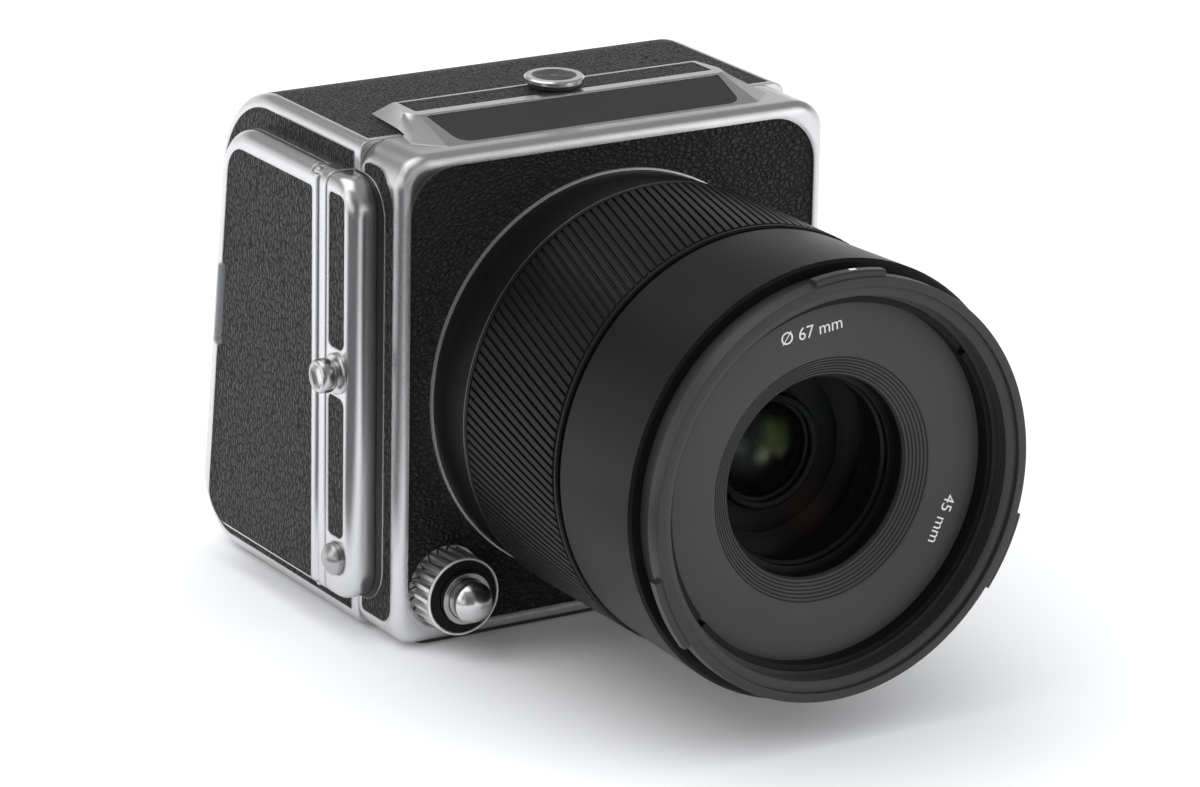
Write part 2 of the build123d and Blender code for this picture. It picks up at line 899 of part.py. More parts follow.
def rear_y(height, inset):
    return front_y + back_reach - height * math.tan(lean) - inset / math.cos(lean)


def back_face(inset, rear_inset, bottom):
    # The back's side view: square at the seam, round at the leaning rear.
    top = body_height - inset
    front = back_y + inset
    rear_low = (rear_y(bottom, rear_inset), bottom)
    rear_high = (rear_y(top, rear_inset), top)
    radii = [0, rear_bottom_round - rear_inset, rear_top_round - rear_inset, 0]
    return outline([(front, bottom), rear_low, rear_high, (front, top)], radii)


def side_skin_face():
    inset = band_width
    face = back_face(inset, inset, base_thickness + inset)
    return face


def wrap_skin(depth):
    # A layer just under the surface, on the top and round the rear top corner.
    outer = back_face(0, 0, base_thickness)
    inner = back_face(depth, depth, base_thickness + depth)
    side = half_width - band_width
    layer = slab_x(outer, -side, side) - slab_x(inner, -side - overrun, side + overrun)
    front = back_y + wrap_front_rim
    rear = front_y + back_reach + overrun
    return layer & block((-side, side), (front, rear), (wrap_end_height, body_height + overrun))


def rear_plane():
    origin = (0, rear_y(rear_middle_height, 0), rear_middle_height)
    return Plane(origin=origin, x_dir=(-1, 0, 0), z_dir=(0, math.cos(lean), math.sin(lean)))


def on_rear(face, low, high):
    # An extrusion square to the leaning rear face, between two heights above that face.
    return extrude(rear_plane().offset(low) * face, amount=high - low)


def screen_axis_height():
    return screen_proud - screen_thickness / 2


def screen_axis_place():
    return screen_high - screen_thickness / 2


def screen_recess():
    side = screen_width / 2 + swing_gap
    low = screen_low - screen_bottom_gap
    high = screen_high + swing_gap
    face = rectangle(-side, side, low, high, [screen_round, screen_round, 0, 0])
    depth = screen_thickness - screen_proud + seat_gap
    return on_rear(face, -depth, overrun)


def screen_rod(radius, x_start, x_end):
    place = rear_plane().from_local_coords((0, screen_axis_place(), screen_axis_height()))
    return rod_x(radius, x_start, x_end, place.Y, place.Z)


def rear_button_faces(extra):
    half = rear_button_width / 2 + extra
    low = rear_button_place - rear_button_height / 2 - extra
    high = rear_button_place + rear_button_height / 2 + extra
    middle = (rear_button_count - 1) / 2
    places = [(index - middle) * rear_button_pitch for index in range(rear_button_count)]
    return [rectangle(x - half, x + half, low, high, [rear_button_round] * 4) for x in places]


def bay_opening():
    # The way in for the battery and the cards, through the left wall.
    x_ends = (left_face - grip_reach, left_face + back_side_wall + overrun)
    battery_y = front_y + battery_front
    hole = block(
        x_ends,
        (battery_y - battery_gap, battery_rear() + battery_gap),
        (battery_bottom, battery_bottom + battery_height + battery_gap),
    )
    for y in card_slot_places():
        hole += block(x_ends, (y, y + card_slot), (card_bottom, card_bottom + card_width))
    return hole


def card_slot_places():
    # The two slots are just in front of the main board, and the battery fills the room before them.
    last = board_y() - board_thickness - card_margin - card_slot
    return (last - card_pitch, last)


def battery_rear():
    return card_slot_places()[0] - card_margin - tray_wall - battery_gap


def port_face(extra):
    front = front_y + port_front - extra
    rear = front_y + port_rear + extra
    return rectangle(front, rear, port_bottom - extra, port_top + extra, [port_round] * 4)


def port_hinge_place():
    return half_width - port_nose_radius, front_y + port_front + port_nose_radius


def port_pin_ends():
    inside = port_pin_engage
    outside = port_pin_engage - port_pin_length
    low = (port_bottom + outside, port_bottom + inside)
    high = (port_top - inside, port_top - outside)
    return low, high


def back_shell():
    shell = slab_x(back_face(0, 0, base_thickness), -half_width, half_width)
    for x in (-half_width, half_width):
        edges = edges_on_x(shell, x)
        rounded = edges.filter_by_position(Axis.Y, back_y + seam_gap, front_y + back_reach + overrun)
        shell = fillet(rounded, back_edge_round)
    inside = half_width - back_side_wall
    shell -= slab_x(back_face(back_wall, back_rear_wall, base_thickness + back_wall), -inside, inside)
    shell += rod_z(tripod_boss_radius, base_thickness + back_wall, tripod_boss_height, 0, 0)
    shell -= rod_z(tripod_insert_radius, -overrun, tripod_insert_height, 0, 0)
    window_x = sensor_window_width / 2
    window_z = sensor_window_height / 2
    through = (back_y - overrun, back_y + back_wall + seat_gap)
    shell -= block((-window_x, window_x), through, (axis_z - window_z, axis_z + window_z))
    for recess in side_recesses(side_skin_face(), skin):
        shell -= recess
    shell -= wrap_skin(skin)
    shell -= bay_opening()
    shell -= screen_recess()
    pin_reach = screen_width / 2 + screen_pin_length - screen_pin_engage
    shell -= screen_rod(screen_pin_radius, -pin_reach, pin_reach)
    slot_depth = rear_button_depth + rear_button_travel + swing_gap
    for face in rear_button_faces(sliding_gap):
        shell -= on_rear(face, -slot_depth, overrun)
    power_y = front_y + power_setback
    power_bottom = half_width - power_depth - power_travel - seat_gap
    shell -= rod_x(power_radius + sliding_gap, power_bottom, half_width + overrun, power_y, power_height)
    shell -= slab_x(port_face(swing_gap), half_width - port_door_thickness - seat_gap, half_width + overrun)
    pin_x, pin_y = port_hinge_place()
    for low, high in port_pin_ends():
        shell -= rod_z(port_pin_radius, low, high, pin_x, pin_y)
    for slot in port_slots():
        shell -= slot
    for index in range(2):
        hole_y = front_y + mic_hole_first + index * mic_hole_pitch
        hole_z = (body_height - mic_hole_depth, body_height + overrun)
        shell -= rod_z(mic_hole_radius, *hole_z, mic_hole_offset, hole_y)
    for x, y in back_screw_places():
        shell -= rod_z(base_screw_shank, 0, base_thickness + base_screw_length, x, y)
    for x, z in board_stud_places():
        shell += rod_y(board_stud_radius, board_y(), rear_y(z, back_rear_wall) + seat_gap, x, z)
    return shell


def board_y():
    return rear_y(board_top, back_rear_wall) - board_rear_gap


def board_stud_places():
    side = board_half_width - board_stud_radius
    rows = (board_bottom + board_stud_radius, board_top - board_stud_radius)
    return [(x, z) for x in (-side, side) for z in rows]


def back_leathers():
    left, right = side_recesses(side_skin_face(), skin)
    left -= bay_opening()
    right -= slab_x(port_face(swing_gap), half_width - skin - overrun, half_width + overrun)
    power_y = front_y + power_setback
    right -= rod_x(
        power_radius + swing_gap, half_width - skin - overrun, half_width + overrun, power_y, power_height,
    )
    pin_x, pin_y = port_hinge_place()
    for low, high in port_pin_ends():
        right -= rod_z(port_pin_radius, low, high, pin_x, pin_y)
    wrap = wrap_skin(skin)
    for index in range(2):
        hole_y = front_y + mic_hole_first + index * mic_hole_pitch
        hole_z = (body_height - skin - overrun, body_height + overrun)
        wrap -= rod_z(mic_hole_radius, *hole_z, mic_hole_offset, hole_y)
    return [left, right, wrap]


def grip_face(inset, front, corner_change):
    low = grip_bottom + inset
    high = grip_top - inset
    rear_inset = grip_rear_inset + inset
    corners = [(front, low), (rear_y(low, rear_inset), low), (rear_y(high, rear_inset), high), (front, high)]
    radii = [0, grip_bottom_round - corner_change, grip_top_round - corner_change, 0]
    return outline(corners, radii)


def grip_block(x_start, front):
    solid = slab_x(grip_face(0, front, 0), outer_left, x_start)
    edges = edges_on_x(solid, outer_left)
    rounded = edges.filter_by_position(Axis.Y, front + seam_gap, front_y + back_reach)
    return fillet(rounded, grip_edge_round)


def hinge_zone(low, high):
    # Where an ear of the hinge is: square in front of the pin and round behind it.
    zone = block((outer_left - overrun, left_face), (front_y + grip_front, hinge_y), (low, high))
    return zone + rod_z(door_nose_radius, low, high, hinge_x, hinge_y)


def grip_housing():
    front = front_y + grip_front
    base_x = left_face - grip_base_reach
    base = slab_x(grip_face(0, front, 0), base_x, left_face)
    whole = grip_block(base_x, front)
    strip = whole & block(
        (outer_left - overrun, base_x), (front, front + grip_strip), (grip_bottom, grip_top),
    )
    housing = base + strip
    housing += whole & hinge_zone(grip_bottom, grip_bottom + door_ear)
    housing += whole & hinge_zone(grip_top - door_ear, grip_top)
    housing -= rod_z(door_pin_radius, grip_bottom + seam_gap, grip_top - seam_gap, hinge_x, hinge_y)
    return housing - bay_opening()


def side_door():
    base_x = left_face - grip_base_reach - seat_gap
    door = grip_block(base_x, hinge_y)
    gap = door_ear + seat_gap
    reach = door_nose_radius + swing_gap
    ear_y = (hinge_y - overrun, hinge_y + reach + seat_gap)
    for low, high in ((grip_bottom - overrun, grip_bottom + gap), (grip_top - gap, grip_top + overrun)):
        door -= block((outer_left - overrun, left_face), ear_y, (low, high))
    door += rod_z(door_nose_radius, grip_bottom + gap, grip_top - gap, hinge_x, hinge_y)
    door -= rod_z(door_pin_radius + running_gap, grip_bottom, grip_top, hinge_x, hinge_y)
    door -= slab_x(door_leather_face(), outer_left - overrun, outer_left + door_leather_depth)
    return door - finger_scoop()


def door_leather_face():
    front = front_y + door_leather_front
    low = grip_bottom + door_leather_border - grip_edge_round + seam_gap
    high = grip_top - door_leather_border
    rear_inset = grip_rear_inset + door_leather_border
    corners = [(front, low), (rear_y(low, rear_inset), low), (rear_y(high, rear_inset), high), (front, high)]
    radii = [door_leather_front_round, door_leather_corner, door_leather_corner, door_leather_front_round]
    return outline(corners, radii)


def finger_scoop():
    # A shallow hollow across the door's rear border, for a fingernail.
    inset = grip_rear_inset + door_leather_border
    low = axis_z + scoop_low
    high = axis_z + scoop_high
    corners = [
        (rear_y(low, inset) - scoop_width / 2, low), (rear_y(low, inset) + scoop_width / 2, low),
        (rear_y(high, inset) + scoop_width / 2, high), (rear_y(high, inset) - scoop_width / 2, high),
    ]
    face = outline(corners, [scoop_width / 3] * 4)
    return slab_x(face, outer_left - overrun, outer_left + scoop_depth)


def door_leather():
    outer = outer_left + skin_relief
    return slab_x(door_leather_face(), outer, outer_left + door_leather_depth) - finger_scoop()


def hinge_pins():
    door = rod_z(door_pin_radius, grip_bottom + seam_gap, grip_top - seam_gap, hinge_x, hinge_y)
    outer = screen_width / 2 + screen_pin_length - screen_pin_engage
    inner = screen_width / 2 - screen_pin_engage
    left = screen_rod(screen_pin_radius, -outer, -inner)
    right = screen_rod(screen_pin_radius, inner, outer)
    pin_x, pin_y = port_hinge_place()
    ports = [rod_z(port_pin_radius, low, high, pin_x, pin_y) for low, high in port_pin_ends()]
    return [door, left, right] + ports


def battery_tray():
    # One moulding: the battery bay and, behind it, the holder of the two card slots.
    left = left_face + back_side_wall
    y = front_y + battery_front
    inner_y = (y - battery_gap, battery_rear() + battery_gap)
    inner_z = (battery_bottom, battery_bottom + battery_height + battery_gap)
    right = left_face + battery_lip + battery_length + seat_gap
    outer_y = (inner_y[0] - tray_wall, inner_y[1] + tray_wall)
    outer_z = (inner_z[0] - tray_wall, inner_z[1] + tray_wall)
    tray = block((left, right + tray_wall), outer_y, outer_z)
    tray -= block((left - overrun, right), inner_y, inner_z)
    holder_y = (outer_y[1], card_slot_places()[1] + card_slot + card_margin)
    holder_z = (card_bottom - card_margin, card_bottom + card_width + card_margin)
    holder_x = (left, left_face + card_depth + card_margin)
    tray += block(holder_x, holder_y, holder_z)
    for slot_y in card_slot_places():
        slot_z = (card_bottom, card_bottom + card_width)
        tray -= block((left - overrun, left_face + card_depth), (slot_y, slot_y + card_slot), slot_z)
    return tray


def battery():
    left = left_face + battery_lip
    y = front_y + battery_front
    z_ends = (battery_bottom, battery_bottom + battery_height)
    return block((left, left + battery_length), (y, battery_rear()), z_ends)


def sensor_glass():
    half_x = sensor_window_width / 2
    half_z = sensor_window_height / 2
    y_ends = (back_y + back_wall - glass_thickness, back_y + back_wall)
    return block((-half_x, half_x), y_ends, (axis_z - half_z, axis_z + half_z))


def image_sensor():
    half_x = sensor_width / 2
    half_z = sensor_height / 2
    front = back_y + back_wall
    return block((-half_x, half_x), (front, front + sensor_thickness), (axis_z - half_z, axis_z + half_z))


def heat_sink():
    half_x = heat_sink_width / 2
    half_z = heat_sink_height / 2
    front = back_y + back_wall + sensor_thickness
    rear = front + heat_sink_thickness
    sink = block((-half_x, half_x), (front, rear), (axis_z - half_z, axis_z + half_z))
    pitch = heat_sink_width / heat_sink_fins
    for index in range(heat_sink_fins - 1):
        x = -half_x + (index + 1) * pitch
        groove_x = (x - heat_sink_groove / 2, x + heat_sink_groove / 2)
        groove_z = (axis_z - half_z - overrun, axis_z + half_z + overrun)
        sink -= block(groove_x, (rear - heat_sink_groove_depth, rear + overrun), groove_z)
    return sink


def main_board():
    rear = board_y()
    front = rear - board_thickness
    board = block((-board_half_width, board_half_width), (front, rear), (board_bottom, board_top))
    chip_x = board_half_width - board_chip - board_chip / 2
    for low in (board_bottom + board_chip / 2, board_bottom + 2 * board_chip):
        chip_y = (front - board_chip_thickness, front)
        board += block((chip_x, chip_x + board_chip), chip_y, (low, low + board_chip))
    return board


def screen_face(inset, low_inset, high_inset):
    side = screen_width / 2 - inset
    low = screen_low + low_inset
    high = screen_high - high_inset
    return rectangle(-side, side, low, high, [screen_round] * 4)


def screen_housing():
    inner = screen_proud - screen_thickness
    nose = screen_thickness / 2
    side = screen_width / 2
    radii = [screen_round, screen_round, 0, 0]
    face = rectangle(-side, side, screen_low, screen_high - nose, radii)
    housing = on_rear(face, inner, screen_proud) + screen_rod(nose, -side, side)
    glass = screen_face(screen_glass_inset, screen_glass_low_inset, screen_glass_high_inset)
    housing -= on_rear(glass, screen_proud - screen_glass_thickness, screen_proud + overrun)
    bore = screen_pin_radius + running_gap
    depth = screen_pin_engage + seat_gap
    housing -= screen_rod(bore, -side - overrun, -side + depth)
    return housing - screen_rod(bore, side - depth, side + overrun)


def screen_glass():
    face = screen_face(screen_glass_inset, screen_glass_low_inset, screen_glass_high_inset)
    return on_rear(face, screen_proud - screen_glass_thickness, screen_proud)


def rear_button(index):
    return on_rear(rear_button_faces(0)[index], -rear_button_depth, rear_button_rise)


def power_button():
    y = front_y + power_setback
    return rod_x(power_radius, half_width - power_depth, half_width + power_rise, y, power_height)


def port_slots():
    # Three plug openings one above the other, cut right through the wall and into their block.
    middle_y = front_y + (port_front + port_rear) / 2
    middle_z = (port_bottom + port_top) / 2
    outer = half_width - port_door_thickness
    slots = []
    for index in range(port_count):
        z = middle_z + (index - (port_count - 1) / 2) * port_pitch
        half_y = port_slot_width / 2
        half_z = port_slot_height / 2
        face = rectangle(middle_y - half_y, middle_y + half_y, z - half_z, z + half_z, [port_slot_round] * 4)
        slots.append(slab_x(face, outer - port_slot_depth, outer + overrun))
    return slots


def port_door():
    pin_x, pin_y = port_hinge_place()
    inner = half_width - port_door_thickness
    radii = [0, port_round, port_round, 0]
    face = rectangle(pin_y, front_y + port_rear, port_bottom, port_top, radii)
    door = slab_x(face, inner, half_width) + rod_z(port_nose_radius, port_bottom, port_top, pin_x, pin_y)
    for low, high in port_pin_ends():
        door -= rod_z(port_pin_radius + running_gap, low - seat_gap, high + seat_gap, pin_x, pin_y)
    return door


def port_sockets():
    right = half_width - back_side_wall
    y_ends = (front_y + port_front, front_y + port_rear)
    body = block((right - port_block_depth, right), y_ends, (port_bottom, port_top))
    for slot in port_slots():
        body -= slot
    return body


def base_face(front, rear):
    side = half_width - base_inset - frame_bottom_round
    return rectangle(-side, side, front, rear, [base_corner_round] * 4)


def front_screw_places():
    side = half_width - base_inset - frame_bottom_round - base_screw_inset
    y = front_y + front_depth / 2
    return [(-side, y), (side, y)]


def back_screw_places():
    side = half_width - base_inset - frame_bottom_round - base_screw_inset
    rows = (back_y + base_screw_inset, front_y + back_base_rear - base_screw_inset)
    return [(x, y) for x in (-side, side) for y in rows]


def base_plates():
    front = slab_z(base_face(front_y + frame_edge_round, front_rear_y - base_seam_inset), 0, base_thickness)
    rear = slab_z(base_face(back_y + base_seam_inset, front_y + back_base_rear), 0, base_thickness)
    rear -= rod_z(tripod_insert_radius, -overrun, base_thickness + overrun, 0, 0)
    plates = []
    for plate, places in ((front, front_screw_places()), (rear, back_screw_places())):
        for x, y in places:
            plate -= rod_z(base_screw_head, -overrun, base_screw_head_depth, x, y)
            plate -= rod_z(base_screw_shank, -overrun, base_thickness + overrun, x, y)
        plates.append(plate)
    return plates


def tripod_insert():
    insert = rod_z(tripod_insert_radius, 0, tripod_insert_height, 0, 0)
    return insert - rod_z(tripod_radius, -overrun, tripod_depth, 0, 0)


def case_screws():
    screws = []
    for x, z in mount_screw_places():
        head_rear = flange_y + mount_screw_head_depth
        head = rod_y(mount_screw_head, flange_y + skin_relief, head_rear, x, z)
        screws.append(head + rod_y(mount_screw_shank, head_rear, head_rear + mount_screw_length, x, z))
    for x, y in front_screw_places() + back_screw_places():
        head = rod_z(base_screw_head, skin_relief, base_screw_head_depth, x, y)
        screws.append(head + rod_z(base_screw_shank, base_screw_head_depth, base_screw_length, x, y))
    return screws


def lens_bayonet():
    front = boss_height + flange_thickness
    tube_rear = boss_height - lens_tube_reach
    flange = turned([
        (lens_tube_bore, front), (flange_radius, front), (flange_radius, boss_height),
        (lens_tube_radius, boss_height), (lens_tube_radius, tube_rear), (lens_tube_bore, tube_rear),
    ])
    lug_front = boss_height - ring_thickness - lens_lug_front_gap
    lug_rear = lug_front - lens_lug_thickness
    lug_ring = lens_ring(lens_lug_radius, lens_tube_radius - seat_gap, lug_rear, lug_front)
    for slice_ in bayonet_slices(ring_radius, lens_lug_span, front_y - lug_front, front_y - lug_rear):
        flange += lug_ring & slice_
    return flange


def rear_barrel():
    seat = boss_height + flange_thickness
    barrel = turned([
        (flange_radius, boss_height), (rear_barrel_radius, boss_height),
        (rear_barrel_front_radius, rear_barrel_front), (rear_barrel_bore, rear_barrel_front),
        (rear_barrel_bore, seat), (flange_radius, seat),
    ])
    pin_x, pin_z = lock_pin_place()
    hole_front = flange_y - lock_pin_reach - swing_gap
    return barrel - rod_y(lock_pin_radius + sliding_gap, hole_front, flange_y + overrun, pin_x, pin_z)


def focus_ring():
    bore = inner_radius + focus_bore_gap
    edge = focus_radius - focus_chamfer
    return turned([
        (bore, focus_rear), (edge, focus_rear), (focus_radius, focus_rear + focus_chamfer),
        (focus_radius, focus_front - focus_chamfer), (edge, focus_front), (bore, focus_front),
    ])


def inner_barrel():
    # The fixed tube inside the lens, with the cell that holds the glass on two webs.
    tube = turned([
        (inner_bore, rear_barrel_front), (inner_radius, rear_barrel_front),
        (inner_radius, focus_front + seat_gap), (groove_radius, focus_front + seat_gap),
        (groove_radius, groove_front), (inner_radius, groove_front), (inner_radius, inner_front),
        (inner_bore, inner_front),
    ])
    tube += lens_ring(inner_bore + seat_gap, cell_bore, web_front - web_thickness, web_front)
    tube += lens_ring(inner_bore + seat_gap, cell_bore, rear_web_front - web_thickness, rear_web_front)
    return tube + lens_ring(cell_radius, cell_bore, cell_rear, web_front)


def front_barrel():
    return turned([
        (inner_radius, groove_front), (front_barrel_rear_radius, groove_front),
        (front_barrel_front_radius, front_barrel_front - front_barrel_edge),
        (front_barrel_front_radius - front_barrel_edge, front_barrel_front),
        (inner_radius, front_barrel_front),
    ])


def front_rim():
    seat_rear = lens_length - thread_depth - retainer_thickness - plate_thickness
    rim = turned([
        (rim_bore, rim_rear), (inner_radius, rim_rear), (inner_radius, front_barrel_front),
        (hood_groove_radius, front_barrel_front), (hood_groove_radius, hood_groove_front),
        (rim_radius, hood_groove_front), (rim_radius, lens_length - rim_edge),
        (rim_radius - rim_edge, lens_length), (rim_face_bore, lens_length),
        (thread_radius, lens_length - rim_chamfer_depth), (thread_radius, lens_length - thread_depth),
        (plate_seat_radius, lens_length - thread_depth), (plate_seat_radius, seat_rear),
        (rim_bore, seat_rear),
    ])
    lug_ring = lens_ring(hood_lug_radius, hood_groove_radius, hood_lug_rear, hood_lug_front)
    for angle in hood_lug_angles:
        y_ends = (front_y - hood_lug_front, front_y - hood_lug_rear)
        slice_ = wedge(hood_lug_radius, angle, hood_lug_span, *y_ends)
        rim += lug_ring & slice_
    return rim


def retaining_ring():
    front = lens_length - thread_depth
    rear = front - retainer_thickness
    ring = lens_ring(plate_seat_radius, retainer_bore, rear, front)
    half = retainer_notch_width / 2
    y_ends = (front_y - front - overrun, front_y - front + retainer_notch_depth)
    for side in (0, 180):
        notch = block((retainer_bore - overrun, thread_radius + overrun), y_ends, (-half, half))
        ring -= Pos(0, 0, axis_z) * Rot(0, -retainer_notch_angle - side, 0) * notch
    return ring


def front_plate():
    front = lens_length - thread_depth - retainer_thickness
    rear = front - plate_thickness
    return turned([
        (plate_cone_radius, front), (plate_seat_radius, front), (plate_seat_radius, rear),
        (plate_cone_radius, rear), (plate_bore, rear - plate_cone_drop),
        (plate_bore, front - plate_cone_drop),
    ])


def throat_ring():
    # The black stepped ring between the front plate and the first glass.
    face = lens_length - thread_depth - retainer_thickness - plate_thickness
    front = face - plate_cone_drop
    slope_share = (throat_outer - plate_bore) / (plate_cone_radius - plate_bore)
    flare = front + plate_cone_drop * slope_share
    glass_edge = front_glass_edge + front_glass_thickness - element_edge
    step = front - throat_step_depth
    return turned([
        (throat_outer, flare), (throat_outer, web_front), (cell_bore, web_front), (cell_bore, glass_edge),
        (throat_step_radius, glass_edge), (throat_step_radius, step), (plate_bore, step),
        (plate_bore, front),
    ])


def glass_disc(front_depth_of_edge, rise, edge):
    # A lens element that fills the cell, with a convex front.
    front = front_y - front_depth_of_edge
    disc = rod_y(cell_bore, front, front + edge, 0, axis_z)
    sphere_radius = (cell_bore * cell_bore + rise * rise) / (2 * rise)
    cap = Pos(0, front - rise + sphere_radius, axis_z) * Sphere(sphere_radius)
    cap &= rod_y(cell_bore, front - rise - overrun, front, 0, axis_z)
    return disc + cap


def front_element():
    return glass_disc(front_glass_edge, front_glass_rise, front_glass_thickness)


def middle_elements():
    return [glass_disc(front, element_rise, element_edge) for front in middle_fronts]


def rear_element():
    return glass_disc(rear_glass_front, element_rise, element_edge)


def shutter_unit():
    return lens_ring(cell_bore, shutter_bore, shutter_front - shutter_thickness, shutter_front)


pieces = {
    "front_frame": front_frame,
    "front_leather": front_leather,
    "side_leathers": side_leathers,
    "side_plate": side_plate,
    "strap_bar": strap_bar,
    "strap_studs": strap_studs,
    "side_button": side_button,
    "bridge_cover": bridge_cover,
    "bridge_leather": bridge_leather,
    "name_plate": name_plate,
    "latch_button": latch_button,
    "latch_hook": latch_hook,
    "release_wheel": release_wheel,
    "wheel_face": wheel_face,
    "release_sleeve": release_sleeve,
    "release_button": release_button,
    "mount_boss": mount_boss,
    "mount_ring": mount_ring,
    "mount_contacts": mount_contacts,
    "lens_release_button": lens_release_button,
    "lens_lock_pin": lens_lock_pin,
    "light_box": light_box,
    "back_shell": back_shell,
    "back_leathers": back_leathers,
    "grip_housing": grip_housing,
    "side_door": side_door,
    "door_leather": door_leather,
    "hinge_pins": hinge_pins,
    "battery_tray": battery_tray,
    "battery": battery,
    "sensor_glass": sensor_glass,
    "image_sensor": image_sensor,
    "heat_sink": heat_sink,
    "main_board": main_board,
    "screen_housing": screen_housing,
    "screen_glass": screen_glass,
    "power_button": power_button,
    "port_door": port_door,
    "port_sockets": port_sockets,
    "base_plates": base_plates,
    "tripod_insert": tripod_insert,
    "case_screws": case_screws,
    "lens_bayonet": lens_bayonet,
    "rear_barrel": rear_barrel,
    "focus_ring": focus_ring,
    "inner_barrel": inner_barrel,
    "front_barrel": front_barrel,
    "front_rim": front_rim,
    "retaining_ring": retaining_ring,
    "front_plate": front_plate,
    "throat_ring": throat_ring,
    "front_element": front_element,
    "middle_elements": middle_elements,
    "rear_element": rear_element,
    "shutter_unit": shutter_unit,
}


def write(name, shape):
    if isinstance(shape, list):
        shape = Compound(children=[solid for piece in shape for solid in piece.solids()])
    export_step(shape, f"parts/{name}.step")


os.makedirs("parts", exist_ok=True)
for name, make in pieces.items():
    write(name, make())
for index in range(rear_button_count):
    write(f"rear_button_{index + 1}", rear_button(index))
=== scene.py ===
import math

import bmesh
import bpy
from mathutils import Matrix, Vector


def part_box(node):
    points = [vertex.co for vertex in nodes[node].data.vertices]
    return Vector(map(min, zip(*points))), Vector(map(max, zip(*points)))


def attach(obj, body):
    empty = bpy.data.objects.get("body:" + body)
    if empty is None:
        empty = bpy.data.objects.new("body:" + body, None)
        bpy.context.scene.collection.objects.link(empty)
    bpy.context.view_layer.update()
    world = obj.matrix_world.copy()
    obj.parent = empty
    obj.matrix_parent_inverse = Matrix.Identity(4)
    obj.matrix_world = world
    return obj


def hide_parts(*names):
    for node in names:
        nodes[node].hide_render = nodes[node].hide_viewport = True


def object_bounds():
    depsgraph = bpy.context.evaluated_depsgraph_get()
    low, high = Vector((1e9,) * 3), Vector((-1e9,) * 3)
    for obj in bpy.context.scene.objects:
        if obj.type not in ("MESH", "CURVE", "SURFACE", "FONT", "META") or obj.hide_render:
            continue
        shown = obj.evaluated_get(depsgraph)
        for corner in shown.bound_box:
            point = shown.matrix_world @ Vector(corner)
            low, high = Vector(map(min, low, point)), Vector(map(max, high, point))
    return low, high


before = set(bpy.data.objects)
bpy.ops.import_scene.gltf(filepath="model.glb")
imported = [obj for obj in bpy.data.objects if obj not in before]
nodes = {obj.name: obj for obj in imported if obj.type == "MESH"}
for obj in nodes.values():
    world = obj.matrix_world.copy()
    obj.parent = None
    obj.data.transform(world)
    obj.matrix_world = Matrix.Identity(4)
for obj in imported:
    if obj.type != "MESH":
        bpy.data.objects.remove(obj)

# Medium format camera. The pieces' dictionaries are in millimetres; looks, lights and Blender are in metres.
# Depths are measured forward of the front frame's plane, along the lens.

mm = 0.001
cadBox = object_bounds()
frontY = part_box("front_frame")[0].y
axisZ = 45.2 * mm
scene = bpy.context.scene


class Field:
    # One output of a shader node, so that shader maths reads as plain Python.
    def __init__(self, tree, socket):
        self.tree = tree
        self.socket = socket

    def maths(self, operation, *others):
        values = dict(enumerate((self,) + others))
        return self.tree.node("ShaderNodeMath", values, operation=operation)

    def __add__(self, other):
        return self.maths("ADD", other)

    def __mul__(self, other):
        return self.maths("MULTIPLY", other)

    def __sub__(self, other):
        return self.maths("SUBTRACT", other)

    def __rsub__(self, other):
        return self * -1.0 + other

    __radd__ = __add__
    __rmul__ = __mul__

    def clamp(self, low, high):
        # 0 below low, 1 above high, smooth between them
        values = {"Value": self, "From Min": low, "From Max": high}
        return self.tree.node("ShaderNodeMapRange", values, interpolation_type="SMOOTHSTEP")


class NodeTree:
    # The nodes of a material or of the world, built from Python.
    def __init__(self, nodeTree):
        self.nodes = nodeTree.nodes
        self.links = nodeTree.links

    def found(self, kind):
        return next(n for n in self.nodes if n.type == kind)

    def feed(self, socket, value):
        if isinstance(value, Field):
            self.links.new(value.socket, socket)
        elif isinstance(value, tuple) and len(value) == 3 and len(socket.default_value) == 4:
            socket.default_value = value + (1.0,)
        else:
            socket.default_value = value

    def node(self, kind, values=None, output=0, **settings):
        made = self.nodes.new(kind)
        for key, value in settings.items():
            setattr(made, key, value)
        for key, value in (values or {}).items():
            self.feed(made.inputs[key], value)
        return Field(self, made.outputs[output])

    def part(self, vector, axis):
        return self.node("ShaderNodeSeparateXYZ", {"Vector": vector}, axis)


